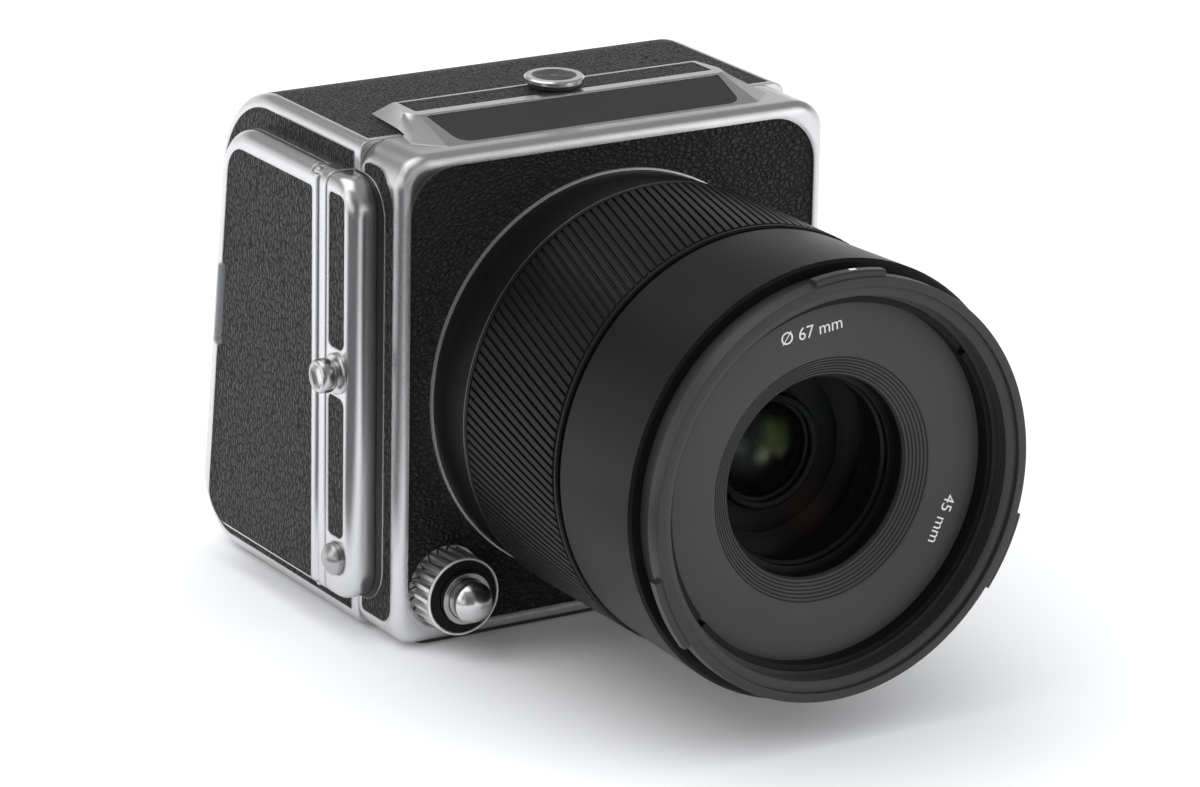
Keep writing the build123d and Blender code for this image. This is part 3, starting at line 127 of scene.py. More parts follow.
class Finish(NodeTree):
    # A material; numbers and colours that are the same all over go straight onto its shader.
    sockets = {
        "color": "Base Color", "rough": "Roughness", "metal": "Metallic", "coat": "Coat Weight",
        "coatRough": "Coat Roughness", "normal": "Normal", "specular": "Specular IOR Level",
        "tint": "Specular Tint", "emission": "Emission Color", "glow": "Emission Strength",
    }

    def __init__(self, name, **constants):
        self.material = bpy.data.materials.new(name)
        self.material.use_nodes = True
        super().__init__(self.material.node_tree)
        self.shader = self.found("BSDF_PRINCIPLED")
        for key, value in constants.items():
            self.put(key, value)

    def put(self, key, value):
        self.feed(self.shader.inputs[self.sockets[key]], value)

    def place(self, scale=(1.0, 1.0, 1.0), move=(0.0, 0.0, 0.0)):
        point = self.node("ShaderNodeTexCoord", output="Object")
        return self.node("ShaderNodeMapping", {"Vector": point, "Scale": scale, "Location": move})

    def noise(self, scale, detail):
        return self.node("ShaderNodeTexNoise", {"Vector": self.place(), "Scale": scale, "Detail": detail})

    def cells(self, scale, vector):
        # distance to the nearest edge between two cells
        values = {"Vector": vector, "Scale": scale}
        return self.node("ShaderNodeTexVoronoi", values, "Distance", feature="DISTANCE_TO_EDGE")

    def mix(self, factor, first, second):
        # a Mix node's colour inputs are 6 and 7, and its colour output is 2
        return self.node("ShaderNodeMix", {0: factor, 6: first, 7: second}, 2, data_type="RGBA")

    def bump(self, height, depth, soften=0.0):
        values = {"Height": height, "Distance": depth}
        if soften:
            values["Normal"] = self.node("ShaderNodeBevel", {"Radius": soften}, samples=4)
        return self.node("ShaderNodeBump", values)


# Leather: cells with finer cells and pores on them; the scales are cells for each metre or multiples of grain
leatherLook = {
    "grain": 950.0, "depth": 0.0011, "wobbleScale": 0.7, "wobbleBy": 0.9, "fineScale": 2.3, "poreScale": 5.0,
    "creaseWidth": 0.4, "raisedWidth": 0.16, "fineWidth": 0.2, "creaseShare": 0.78, "fineShare": 0.14,
    "poreShare": 0.1, "patchScale": 45.0, "paintedCreaseShade": (0.0015, 0.0015, 0.0016),
    "raisedColor": (0.015, 0.0152, 0.016), "rough": 0.72, "raisedSmooth": 0.3, "patchRough": 0.06,
    "shineRough": 0.38,
}


def leather(name, stretch, shine, gloss):
    # The creases are dull and painted dark as shade, and only the raised parts have a shine.
    s = leatherLook
    finish = Finish(name, specular=gloss, coatRough=s["shineRough"])
    point = finish.place(stretch)
    wobble = finish.node("ShaderNodeTexNoise", {
        "Vector": point, "Scale": s["grain"] * s["wobbleScale"], "Detail": 1.0}, "Color")
    centred = finish.node("ShaderNodeVectorMath", {0: wobble, 1: (0.5, 0.5, 0.5)}, operation="SUBTRACT")
    reach = s["wobbleBy"] / s["grain"]
    shift = finish.node("ShaderNodeVectorMath", {0: centred, "Scale": reach}, operation="SCALE")
    warped = finish.node("ShaderNodeVectorMath", {0: point, 1: shift}, operation="ADD")
    edge = finish.cells(s["grain"], warped)
    crease = edge.clamp(0.0, s["creaseWidth"])
    raised = edge.clamp(0.0, s["raisedWidth"])
    fine = finish.cells(s["grain"] * s["fineScale"], warped).clamp(0.0, s["fineWidth"])
    pores = finish.noise(s["grain"] * s["poreScale"], 3.0)
    patches = finish.noise(s["patchScale"], 2.0)
    height = crease * s["creaseShare"] + fine * s["fineShare"] + pores * s["poreShare"]
    finish.put("normal", finish.bump(height, s["depth"]))
    # painted shade: the creases are coloured much darker than the raised parts
    finish.put("color", finish.mix(raised * (0.7 + patches * 0.5), s["paintedCreaseShade"], s["raisedColor"]))
    finish.put("rough", s["rough"] - raised * s["raisedSmooth"] + patches * s["patchRough"])
    finish.put("coat", raised * shine * (0.8 + patches * 0.4))
    return finish


def chrome(name, color, rough, grainDepth=0.000003, soften=0.00022):
    finish = Finish(name, metal=1.0)
    haze = finish.noise(160.0, 4.0)
    grain = finish.noise(2600.0, 2.0)
    finish.put("color", finish.mix(haze, color, tuple(0.93 * c for c in color)))
    finish.put("rough", rough + haze * 0.07 + grain * 0.02)
    finish.put("normal", finish.bump(grain + haze * 0.3, grainDepth, soften))
    return finish


# Polished trim, whose shading is rounded at its edges by these radii
polish = {
    "color": (0.68, 0.682, 0.69), "rough": 0.18, "grainDepth": 0.0000015, "trimEdge": 0.0009,
    "frameEdge": 0.0017, "facetEdge": 0.0001,
}


def polished(name, edge):
    return chrome(name, polish["color"], polish["rough"], polish["grainDepth"], edge)


def satinBlack(name, color, rough, depth=0.000012, soften=0.00015, turned=False, specular=0.15):
    finish = Finish(name, specular=specular)
    grain = finish.noise(3200.0, 3.0)
    broad = finish.noise(60.0, 2.0)
    if turned:
        # fine lines round the lens
        around = {"Vector": finish.place((40.0, 9000.0, 40.0)), "Scale": 1.0}
        grain = grain * 0.5 + finish.node("ShaderNodeTexNoise", around) * 0.5
    finish.put("color", finish.mix(broad, color, tuple(1.35 * c for c in color)))
    finish.put("rough", rough - 0.03 + grain * 0.08 + broad * 0.03)
    finish.put("normal", finish.bump(grain, depth, soften))
    return finish


def fromLensAxis(finish):
    # across and up from the lens axis, in metres
    point = finish.place(move=(0.0, 0.0, -axisZ))
    return finish.part(point, 0), finish.part(point, 2)


def distance(x, z):
    return (x * x + z * z).maths("SQRT")


def edgedBlack(name):
    # Black lacquer on the broad faces of a thin plate that face left and right, bare metal on its edges.
    finish = Finish(name, specular=0.2)
    normal = finish.node("ShaderNodeBevel", {"Radius": 0.00025}, samples=4)
    sideways = finish.part(normal, 0).maths("ABSOLUTE")
    bare = 1.0 - sideways.clamp(0.75, 0.95)
    haze = finish.noise(300.0, 3.0)
    finish.put("metal", bare)
    finish.put("color", finish.mix(bare, (0.012, 0.012, 0.013), (0.75, 0.75, 0.76)))
    finish.put("rough", 0.28 + haze * 0.08 - bare * 0.05)
    finish.put("normal", normal)
    return finish


def lippedBlack(name, radius):
    # Black inside a radius round the lens axis, bare metal outside it.
    finish = Finish(name, specular=0.1)
    blend = 0.02 * mm
    bare = distance(*fromLensAxis(finish)).clamp(radius - blend, radius + blend)
    haze = finish.noise(300.0, 3.0)
    finish.put("metal", bare)
    finish.put("color", finish.mix(bare, (0.008, 0.008, 0.0085), (0.9, 0.9, 0.91)))
    finish.put("rough", 0.36 + haze * 0.06 + bare * 0.15)
    return finish


def coatedGlass(name, tint, strength, edge=0.4):
    # Clear, and mirroring by strength face on and by edge at a slant.
    finish = Finish(name, specular=0.5, color=(0.0, 0.0, 0.0), tint=tint)
    smear = finish.noise(70.0, 2.0)
    finish.put("rough", 0.01 + smear * 0.03)
    clear = finish.node("ShaderNodeBsdfTransparent", {"Color": (0.93, 0.95, 0.94)})
    facing = finish.node("ShaderNodeLayerWeight", {"Blend": 0.3}, "Facing")
    factor = strength + facing * facing * (edge - strength)
    solid = Field(finish, finish.shader.outputs[0])
    both = finish.node("ShaderNodeMixShader", {0: factor, 1: clear, 2: solid})
    finish.feed(finish.found("OUTPUT_MATERIAL").inputs["Surface"], both)
    return finish


def paintedReflections(name, patches, color, rough):
    # Black, with painted reflections: patches that glow in the soft colours that coated glass throws back,
    # though no lamp is there.
    # A patch is its x and z from the lens axis, its radius and its colour.
    finish = Finish(name, specular=0.15, glow=1.0, color=color)
    x, z = fromLensAxis(finish)
    cloud = finish.noise(500.0, 1.0)
    paintedGlow = (0.0, 0.0, 0.0)
    for across, up, radius, tint in patches:
        away = distance(x - across * mm, z - up * mm)
        far = away * (1.0 / (radius * mm)) + (cloud - 0.5) * 0.6
        paintedGlow = finish.mix(1.0 - far.clamp(0.0, 1.0), paintedGlow, tint)
    # the patches glow as emission: painted reflections, not light from any lamp
    finish.put("emission", paintedGlow)
    finish.put("rough", rough + cloud * 0.05)
    return finish


def paint(name, color, rough, metal=0.0, **extra):
    finish = Finish(name, metal=metal, **extra)
    haze = finish.noise(220.0, 3.0)
    grain = finish.noise(4200.0, 2.0)
    finish.put("color", finish.mix(haze, color, tuple(0.85 * c for c in color)))
    finish.put("rough", rough + grain * 0.08)
    finish.put("normal", finish.bump(grain, 0.00001, 0.00015))
    return finish


trim = polished("chromeTrim", polish["trimEdge"])
frameTrim = polished("chromeFrame", polish["frameEdge"])
facetTrim = polished("chromeFacets", polish["facetEdge"])
steel = chrome("steelTurned", (0.56, 0.56, 0.565), 0.2)
# the front leather's much lower shine is painted shade, for the front lying in the lens's shadow; its stretch
# follows its grain
frontLeather = leather("leatherFront", (0.78, 1.0, 1.2), shine=0.03, gloss=0.42)
sideLeather = leather("leatherSide", (1.25, 1.35, 0.62), shine=0.14, gloss=0.4)
anodised = satinBlack("blackAnodised", (0.005, 0.005, 0.0052), 0.33, specular=0.13)
turnedBlack = satinBlack(
    "blackTurned", (0.005, 0.005, 0.0052), 0.34, 0.000008, 0.0001, turned=True, specular=0.13)
rimBlack = satinBlack("rimAnodised", (0.02, 0.02, 0.0205), 0.36, specular=0.35)
greyAnodised = satinBlack("plateAnodised", (0.036, 0.036, 0.037), 0.42, 0.000014, specular=0.25)
brightSteel = chrome("brightSteel", (0.97, 0.97, 0.97), 0.45)
fluteSteel = chrome("fluteSteel", (0.85, 0.85, 0.855), 0.3)
buttonSteel = chrome("buttonSteel", (0.45, 0.45, 0.455), 0.24)
plateGrey = satinBlack("namePlateGrey", (0.027, 0.027, 0.028), 0.5, 0.00002)
lacquer = edgedBlack("sidePlateLacquer")
bossBlack = lippedBlack("bossBlack", 36.95 * mm)
matteBlack = paint("blackInside", (0.008, 0.008, 0.008), 0.7)
softBlack = paint("blackPlastic", (0.016, 0.016, 0.017), 0.5)
alloy = paint("alloyPlain", (0.55, 0.55, 0.56), 0.35, 1.0)
boardGreen = paint("boardGreen", (0.015, 0.09, 0.04), 0.45)
cellGrey = paint("cellGrey", (0.1, 0.1, 0.105), 0.55)
brass = paint("contactBrass", (0.75, 0.55, 0.22), 0.25, 1.0)
screenGloss = paint("screenGloss", (0.006, 0.006, 0.008), 0.06, coat=1.0, coatRough=0.03)
frontGlass = coatedGlass("glassFront", (0.75, 1.0, 0.8), 0.015, 0.1)
# the middle glasses carry painted reflections: glowing green, whitish and grey patches where lamps would
# reflect in the coated glass
innerGlass = paintedReflections("glassInner", [
    (1.9, 2.1, 4.6, (0.020, 0.028, 0.005)), (-0.8, -0.6, 2.3, (0.062, 0.068, 0.045)),
    (-5.2, 1.4, 2.6, (0.026, 0.028, 0.032)), (3.0, -0.4, 2.2, (0.028, 0.028, 0.018)),
], (0.001, 0.001, 0.001), 0.3)
redGlass = coatedGlass("glassRear", (1.0, 0.25, 0.35), 0.05)
# the black cell carries a painted reflection: a faint red glow below and to the right of the lens axis
cellBlack = paintedReflections(
    "cellBlack", [(8.0, -11.5, 6.5, (0.006, 0.0012, 0.0015))], (0.0015, 0.0015, 0.0016), 0.4)
sensorLook = paint("sensorDark", (0.03, 0.045, 0.05), 0.12, 0.4, coat=1.0, coatRough=0.05)
throatBlack = satinBlack("throatBlack", (0.004, 0.004, 0.0042), 0.35, 0.00001, 0.0001)
darkInset = satinBlack("latchInsetDark", (0.02, 0.02, 0.021), 0.3, specular=0.5)
brightEdge = chrome("brightEdge", (0.16, 0.16, 0.165), 0.4, 0.000001)
whiteInk = paint("whiteInk", (0.82, 0.82, 0.82), 0.6)

nodeFinish = {
    "front_frame": frameTrim, "front_leather": frontLeather, "side_leathers": sideLeather,
    "side_plate": lacquer, "strap_bar": trim, "strap_studs": steel, "side_button": trim,
    "bridge_cover": facetTrim, "bridge_leather": sideLeather, "name_plate": plateGrey,
    "latch_button": facetTrim, "latch_hook": softBlack, "release_wheel": steel, "wheel_face": anodised,
    "release_sleeve": steel, "release_button": facetTrim, "mount_boss": bossBlack, "mount_ring": steel,
    "mount_contacts": brass, "lens_release_button": anodised, "lens_lock_pin": steel,
    "light_box": matteBlack, "back_shell": trim, "back_leathers": sideLeather, "grip_housing": trim,
    "side_door": trim, "door_leather": sideLeather, "hinge_pins": steel, "battery_tray": softBlack,
    "battery": cellGrey, "sensor_glass": frontGlass, "image_sensor": sensorLook, "heat_sink": alloy,
    "main_board": boardGreen, "screen_housing": softBlack, "screen_glass": screenGloss,
    "power_button": trim, "port_door": softBlack, "port_sockets": softBlack, "base_plates": softBlack,
    "tripod_insert": steel, "case_screws": steel, "lens_bayonet": steel, "rear_barrel": turnedBlack,
    "focus_ring": anodised, "inner_barrel": matteBlack, "front_barrel": turnedBlack,
    "front_rim": anodised, "retaining_ring": anodised, "front_plate": greyAnodised,
    "throat_ring": matteBlack, "front_element": frontGlass, "middle_elements": innerGlass,
    "rear_element": redGlass, "shutter_unit": matteBlack,
}
for number in range(1, 6):
    nodeFinish["rear_button_%d" % number] = softBlack
for name, finish in nodeFinish.items():
    materials = nodes[name].data.materials
    materials.clear()
    materials.append(finish.material)
print("finishes made:", len(bpy.data.materials))


# Pieces are made in millimetres about their own Z axis, then put in their place.
towardsFront = Matrix.Rotation(math.pi / 2, 4, "X")
turns = {
    "front": towardsFront, "left": Matrix.Rotation(-math.pi / 2, 4, "Y"),
    "right": Matrix.Rotation(math.pi / 2, 4, "Y"), "top": Matrix.Identity(4),
}
lensPlace = Matrix.Translation((0.0, frontY, axisZ)) @ towardsFront @ Matrix.Scale(mm, 4)


def axisPlace(x, depth, z, towards):
    # Own Z axis towards the front, left, right or top, at a point given in millimetres.
    point = (x * mm, frontY - depth * mm, z * mm)
    return Matrix.Translation(point) @ turns[towards] @ Matrix.Scale(mm, 4)


def linked(name, data):
    made = bpy.data.objects.new(name, data)
    scene.collection.objects.link(made)
    return made


def meshFrom(bm, name):
    mesh = bpy.data.meshes.new(name)
    bm.to_mesh(mesh)
    bm.free()
    return mesh


def finished(bm, name, place, finishes, body, replaced=(), smoothAngle=35.0):
    bmesh.ops.remove_doubles(bm, verts=bm.verts, dist=0.001)
    bmesh.ops.recalc_face_normals(bm, faces=bm.faces)
    bmesh.ops.transform(bm, matrix=place, verts=bm.verts)
    mesh = meshFrom(bm, name)
    mesh.shade_smooth()
    mesh.set_sharp_from_angle(angle=math.radians(smoothAngle))
    for finish in finishes:
        mesh.materials.append(finish.material)
    piece = linked(name, mesh)
    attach(piece, body)
    if replaced:
        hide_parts(*replaced)


def spinRound(bm, geom, angle, steps, merge=False, copies=False):
    return bmesh.ops.spin(
        bm, geom=geom, cent=(0.0, 0.0, 0.0), axis=(0.0, 0.0, 1.0), dvec=(0.0, 0.0, 0.0),
        angle=angle, steps=steps, use_merge=merge, use_duplicate=copies,
    )


def repeatRound(bm, geom, count):
    spinRound(bm, geom, math.tau * (count - 1) / count, count - 1, copies=True)


def turn(bm, profile, steps, span=math.tau, start=0.0, closed=True, material=0):
    # Turns (radius, height) points about Z; start is the angle from +X.
    points = [bm.verts.new((r * math.cos(start), r * math.sin(start), height)) for r, height in profile]
    edges = [bm.edges.new(pair) for pair in zip(points, points[1:])]
    if closed:
        edges.append(bm.edges.new((points[-1], points[0])))
    capped = closed and span < math.tau
    known = set(bm.faces)
    if capped:
        bm.faces.new(points)
    made = spinRound(bm, points + edges, span, steps, merge=span == math.tau)
    if capped:
        ends = [e for e in made["geom_last"] if isinstance(e, bmesh.types.BMEdge)]
        bmesh.ops.contextual_create(bm, geom=ends)
    for face in bm.faces:
        if face not in known:
            face.material_index = material


def stepsFrom(radius, height, offsets):
    # Points given by how far out and how far forward they are of one (radius, height) point.
    return [(radius + out, height + ahead) for out, ahead in offsets]


def grooves(start, stop, count, sink, cutShare):
    # A run of small grooves along a line between two (radius, height) points; sink moves their floors.
    corners = (0.0, 0.0), (1.0 - cutShare, 0.0), (1.0 - cutShare * 0.8, 1.0), (1.0 - cutShare * 0.2, 1.0)
    points = []
    for index in range(count):
        for share, sunk in corners:
            along = (index + share) / count
            points.append(tuple(a + (b - a) * along + down * sunk for a, b, down in zip(start, stop, sink)))
    return points + [stop]


def dome(radius, edge, rise, rear):
    # (radius, height) points from the middle of a convex front round to a flat rear
    count = 12
    ball = (radius * radius + rise * rise) / (2 * rise)
    points = []
    for index in range(count + 1):
        r = radius * index / count
        points.append((r, edge + rise - ball + math.sqrt(ball * ball - r * r)))
    return points + [(radius, rear), (0.0, rear)]


# Focus ring: a band with slanting flat-topped ribs; the slant is in degrees for each millimetre
focusRing = {
    "rear": 12.1, "front": 43.2, "bore": 35.56, "root": 37.42, "top": 38.0, "land": 37.9, "landRear": 1.5,
    "landFront": 0.9, "corner": 0.25, "slope": 0.15, "brightFrom": 12.35, "brightTo": 12.65, "steps": 240,
    "ribs": 150, "ribShare": 0.76, "topShare": 0.82, "footDepth": 0.03, "endLength": 0.35, "endDrop": 0.8,
    "slant": 0.42, "segments": 10,
}


def ribStep(bm, edges, rise, lift):
    # One more length of a rib; lift moves its two top edges out or in.
    made = bmesh.ops.extrude_edge_only(bm, edges=edges)["geom"]
    verts = [g for g in made if isinstance(g, bmesh.types.BMVert)]
    slanted = Matrix.Rotation(math.radians(rise * focusRing["slant"]), 4, "Z")
    bmesh.ops.translate(bm, verts=verts, vec=(0.0, 0.0, rise))
    bmesh.ops.rotate(bm, verts=verts, cent=(0.0, 0.0, 0.0), matrix=slanted)
    for vert in verts:
        outward = Vector((vert.co.x, vert.co.y, 0.0))
        if outward.length > focusRing["root"]:
            vert.co += outward.normalized() * lift
    return made, [g for g in made if isinstance(g, bmesh.types.BMEdge) and all(v in verts for v in g.verts)]


def makeFocusRing():
    s = focusRing
    bm = bmesh.new()
    ribRear = s["rear"] + s["landRear"]
    ribFront = s["front"] - s["landFront"]
    land = s["land"]
    turn(bm, [
        (s["bore"], s["rear"]), (land - s["corner"], s["rear"]), (land, s["brightFrom"]),
        (land, s["brightTo"]), (land, ribRear - s["slope"]), (s["root"], ribRear), (s["root"], ribFront),
        (land, ribFront + s["slope"]), (land, s["front"] - s["corner"]), (land - s["corner"], s["front"]),
        (s["bore"], s["front"]),
    ], s["steps"])
    for face in bm.faces:
        middle = face.calc_center_median()
        if s["brightFrom"] < middle.z < s["brightTo"] and middle.xy.length > s["root"]:
            face.material_index = 1
    half = math.pi / s["ribs"] * s["ribShare"]
    topHalf = half * s["topShare"]
    foot = s["root"] - s["footDepth"]
    drop = (s["top"] - s["root"]) * s["endDrop"]
    lowTop = s["top"] - drop
    corners = [(-half, foot), (-topHalf, lowTop), (topHalf, lowTop), (half, foot)]
    section = [bm.verts.new((r * math.cos(a), r * math.sin(a), ribRear)) for a, r in corners]
    edges = [bm.edges.new(pair) for pair in zip(section, section[1:])]
    rib = section + edges
    middleLength = ribFront - ribRear - 2 * s["endLength"]
    lengths = [(s["endLength"], drop)] + [(middleLength / s["segments"], 0.0)] * s["segments"]
    for rise, lift in lengths + [(s["endLength"], -drop)]:
        made, edges = ribStep(bm, edges, rise, lift)
        rib += made
    repeatRound(bm, list(dict.fromkeys(rib)), s["ribs"])
    finished(bm, "focusRibs", lensPlace, [anodised, brightEdge], "focus_ring_body",
             ["focus_ring"], 30.0)


# Front of the lens: rim with its filter thread and hood lugs
rim = {
    "bore": 31.5, "rear": 61.2, "inside": 35.5, "barrelEnd": 67.3, "neck": 36.3, "neckFront": 70.6,
    "outer": 37.0, "face": 73.6, "faceBore": 35.3, "thread": 33.5, "threadFront": 72.3, "threadRear": 69.6,
    "threadTurns": 5, "threadDepth": 0.3, "threadShare": 0.6, "seat": 32.7, "seatRear": 65.7, "steps": 256,
    "rearCorner": [(-0.1, 0.0), (0.0, 0.1)], "faceRound": [(0.0, -0.3), (-0.1, -0.08), (-0.3, 0.0)],
    "boreEdge": [(0.12, 0.0), (0.0, -0.12), (0.0, -0.8)], "ledge": [(0.6, -0.9)],
    "lugOuter": 38.1, "lugRear": 71.2, "lugFront": 73.2, "lugSpan": 21.0, "lugAngles": (90.0, 206.0, 334.0),
    "lugCorner": [(-0.2, 0.0), (0.0, 0.2)], "lugRound": [(0.0, -0.3), (-0.3, 0.0)], "lugSteps": 20,
}


def makeFrontRim():
    s = rim
    bm = bmesh.new()
    thread = grooves(
        (s["thread"], s["threadFront"]), (s["thread"], s["threadRear"]), s["threadTurns"],
        (s["threadDepth"], 0.0), s["threadShare"])
    turn(bm, [
        (s["bore"], s["rear"]), (s["inside"], s["rear"]), (s["inside"], s["barrelEnd"]),
        (s["neck"], s["barrelEnd"]), (s["neck"], s["neckFront"]),
        *stepsFrom(s["outer"], s["neckFront"], s["rearCorner"]),
        *stepsFrom(s["outer"], s["face"], s["faceRound"]),
        *stepsFrom(s["faceBore"], s["face"], s["boreEdge"]),
        *stepsFrom(s["thread"], s["face"], s["ledge"]),
        *thread, (s["seat"], s["threadRear"]), (s["seat"], s["seatRear"]), (s["bore"], s["seatRear"]),
    ], s["steps"])
    span = math.radians(s["lugSpan"])
    for angle in s["lugAngles"]:
        turn(bm, [
            (s["neck"], s["lugRear"]), *stepsFrom(s["lugOuter"], s["lugRear"], s["lugCorner"]),
            *stepsFrom(s["lugOuter"], s["lugFront"], s["lugRound"]), (s["neck"], s["lugFront"]),
        ], s["lugSteps"], span, math.radians(angle) - span / 2)
    finished(bm, "frontRimDetailed", lensPlace, [rimBlack], "camera_body",
             ["front_rim"], 30.0)


# Plate round the glass, with the fine steps of its cone
facePlate = {
    "outer": 32.65, "front": 66.9, "rear": 65.7, "cone": 21.8, "coneEdge": 0.15, "coneDip": 0.04,
    "bore": 17.8, "drop": 2.1, "lip": 1.2, "grooves": 7, "grooveDepth": 0.26, "grooveShare": 0.4,
    "steps": 256,
}


def makeFacePlate():
    s = facePlate
    bm = bmesh.new()
    low = s["front"] - s["drop"]
    cone = grooves(
        (s["cone"], s["front"] - s["coneDip"]), (s["bore"], low), s["grooves"], (0.0, -s["grooveDepth"]),
        s["grooveShare"])
    turn(bm, [
        (s["outer"], s["rear"]), (s["outer"], s["front"]), (s["cone"] + s["coneEdge"], s["front"]), *cone,
        (s["bore"], low - s["lip"]), (s["cone"], s["rear"]),
    ], s["steps"])
    finished(bm, "facePlateDetailed", lensPlace, [greyAnodised], "camera_body",
             ["front_plate"], 22.0)


# Throat: a sleeve whose bore steps in twice towards the glass
throat = {
    "outer": 21.0, "flangeRear": 58.5, "flangeFront": 64.4, "mouth": 17.8, "front": 64.0, "bore": 17.65,
    "boreFront": 63.2, "step": 16.6, "stepFront": 61.8, "stepRear": 60.6,
    "stepCorner": [(0.1, 0.0), (0.0, -0.1)], "inner": 16.1, "innerFront": 60.5,
    "innerCorner": [(0.35, 0.0), (0.0, -0.3)], "rear": 57.4, "sleeve": 18.4, "steps": 160,
}


def makeThroat():
    s = throat
    bm = bmesh.new()
    turn(bm, [
        (s["outer"], s["flangeRear"]), (s["outer"], s["flangeFront"]), (s["mouth"], s["front"]),
        (s["bore"], s["boreFront"]), (s["bore"], s["stepFront"]),
        *stepsFrom(s["step"], s["stepFront"], s["stepCorner"]), (s["step"], s["stepRear"]),
        *stepsFrom(s["inner"], s["innerFront"], s["innerCorner"]), (s["inner"], s["rear"]),
        (s["sleeve"], s["rear"]), (s["sleeve"], s["flangeRear"]),
    ], s["steps"])
    finished(bm, "throatStepped", lensPlace, [throatBlack], "camera_body",
             ["throat_ring"], 20.0)


# Cell behind the front element: a slope down to a raised ring and to the seat of the eye-like glass
cell = {
    "outer": 18.45, "rear": 46.0, "front": 50.4, "edgeRise": 0.9, "bend": 14.5, "bendDrop": 1.0, "ring": 10.3,
    "ringSteps": [(0.0, -1.4), (0.0, -0.1), (-0.12, 0.0), (-0.5, -0.35)], "eye": 8.3, "eyeGap": 0.12,
    "seatSteps": [(0.75, -0.6), (0.65, -1.6), (0.12, -1.75)], "steps": 128,
}
glassShapes = [
    {"radius": cell["eye"], "edge": 47.2, "rise": 2.6, "rear": 43.0},
    {"radius": cell["outer"], "edge": 41.0, "rise": 1.5, "rear": 39.0},
]


def makeCell():
    s = cell
    bm = bmesh.new()
    turn(bm, [
        (s["outer"], s["rear"]), (s["outer"], s["front"] + s["edgeRise"]),
        (s["bend"], s["front"] - s["bendDrop"]), *stepsFrom(s["ring"], s["front"], s["ringSteps"]),
        *stepsFrom(s["eye"], s["front"], s["seatSteps"]), (s["eye"] + s["eyeGap"], s["rear"]),
    ], s["steps"])
    finished(bm, "glassCell", lensPlace, [cellBlack], "camera_body", (), 20.0)
    bm = bmesh.new()
    for material, shape in enumerate(glassShapes):
        turn(bm, dome(**shape), 96, closed=False, material=material)
    finished(bm, "innerGlasses", lensPlace, [innerGlass, redGlass], "camera_body",
             ["middle_elements"], 40.0)


# Control wheel: grooves that deepen towards the back, under a thin bright rim
wheel = {
    "x": -33.5, "z": 10.7, "teeth": 22, "radius": 7.1, "groove": 5.5, "hub": 5.0, "topShare": 0.34,
    "rear": -0.7, "front": 5.9, "rimRear": 5.5, "rimBore": 6.75, "faceRear": 5.4, "bore": 4.76, "steps": 96,
    "rimFoot": [(-0.05, 0.0), (0.0, 0.1)], "rimCorner": [(0.0, -0.15), (-0.12, 0.0)],
}


def makeWheel():
    s = wheel
    bm = bmesh.new()
    half = math.pi / s["teeth"]
    topHalf = half * s["topShare"]
    low, top, hub = s["groove"], s["radius"], s["hub"]
    rows = [((top, top, top, top), s["rimRear"]), ((low, top, top, low), s["rear"]), ((hub,) * 4, s["rear"])]
    tooth = []
    before = []
    for radii, height in rows:
        corners = zip(radii, (-half, -topHalf, topHalf, half))
        row = [bm.verts.new((r * math.cos(a), r * math.sin(a), height)) for r, a in corners]
        for index in range(len(before) - 1):
            tooth.append(bm.faces.new((before[index], before[index + 1], row[index + 1], row[index])))
        tooth += row
        before = row
    repeatRound(bm, tooth, s["teeth"])
    turn(bm, [
        *stepsFrom(top, s["rimRear"], s["rimFoot"]), *stepsFrom(top, s["front"], s["rimCorner"]),
        (s["rimBore"], s["front"]), (s["rimBore"], s["faceRear"]), (s["bore"], s["faceRear"]),
        (s["bore"], s["rear"]), (hub, s["rear"]), (hub, s["rimRear"]),
    ], s["steps"], material=1)
    place = axisPlace(s["x"], 0.0, s["z"], "front")
    finished(bm, "wheelKnurled", place, [fluteSteel, brightSteel], "release_wheel_body",
             ["release_wheel"], 30.0)


# Strap studs: flange, short neck and a thick round-edged head with a hexagon socket
stud = {
    "places": (("left", -49.3, -11.6), ("right", 43.6, -7.0)), "z": 49.2, "steps": 48,
    "rear": -0.5, "flange": 3.7, "flangeTaper": 0.3, "flangeFull": 0.15, "flangeFront": 0.7,
    "flangeCorner": [(0.0, -0.25), (-0.3, 0.0)], "neck": 2.4, "neckFrom": 0.72, "neckTo": 1.28,
    "head": 3.12, "headRear": 1.3, "end": 4.2,
    "headBack": [(-0.6, 0.0), (-0.22, 0.3), (-0.04, 0.8), (0.0, 1.3)],
    "headFront": [(0.0, -1.2), (-0.05, -0.8), (-0.18, -0.35), (-0.36, -0.1), (-0.55, 0.0), (-0.8, -0.06)],
    "socket": 2.05, "socketEdge": [(0.12, -0.08), (0.0, -0.2)], "socketTop": 0.1, "socketDepth": 0.55,
    "rimBand": 0.3,
}


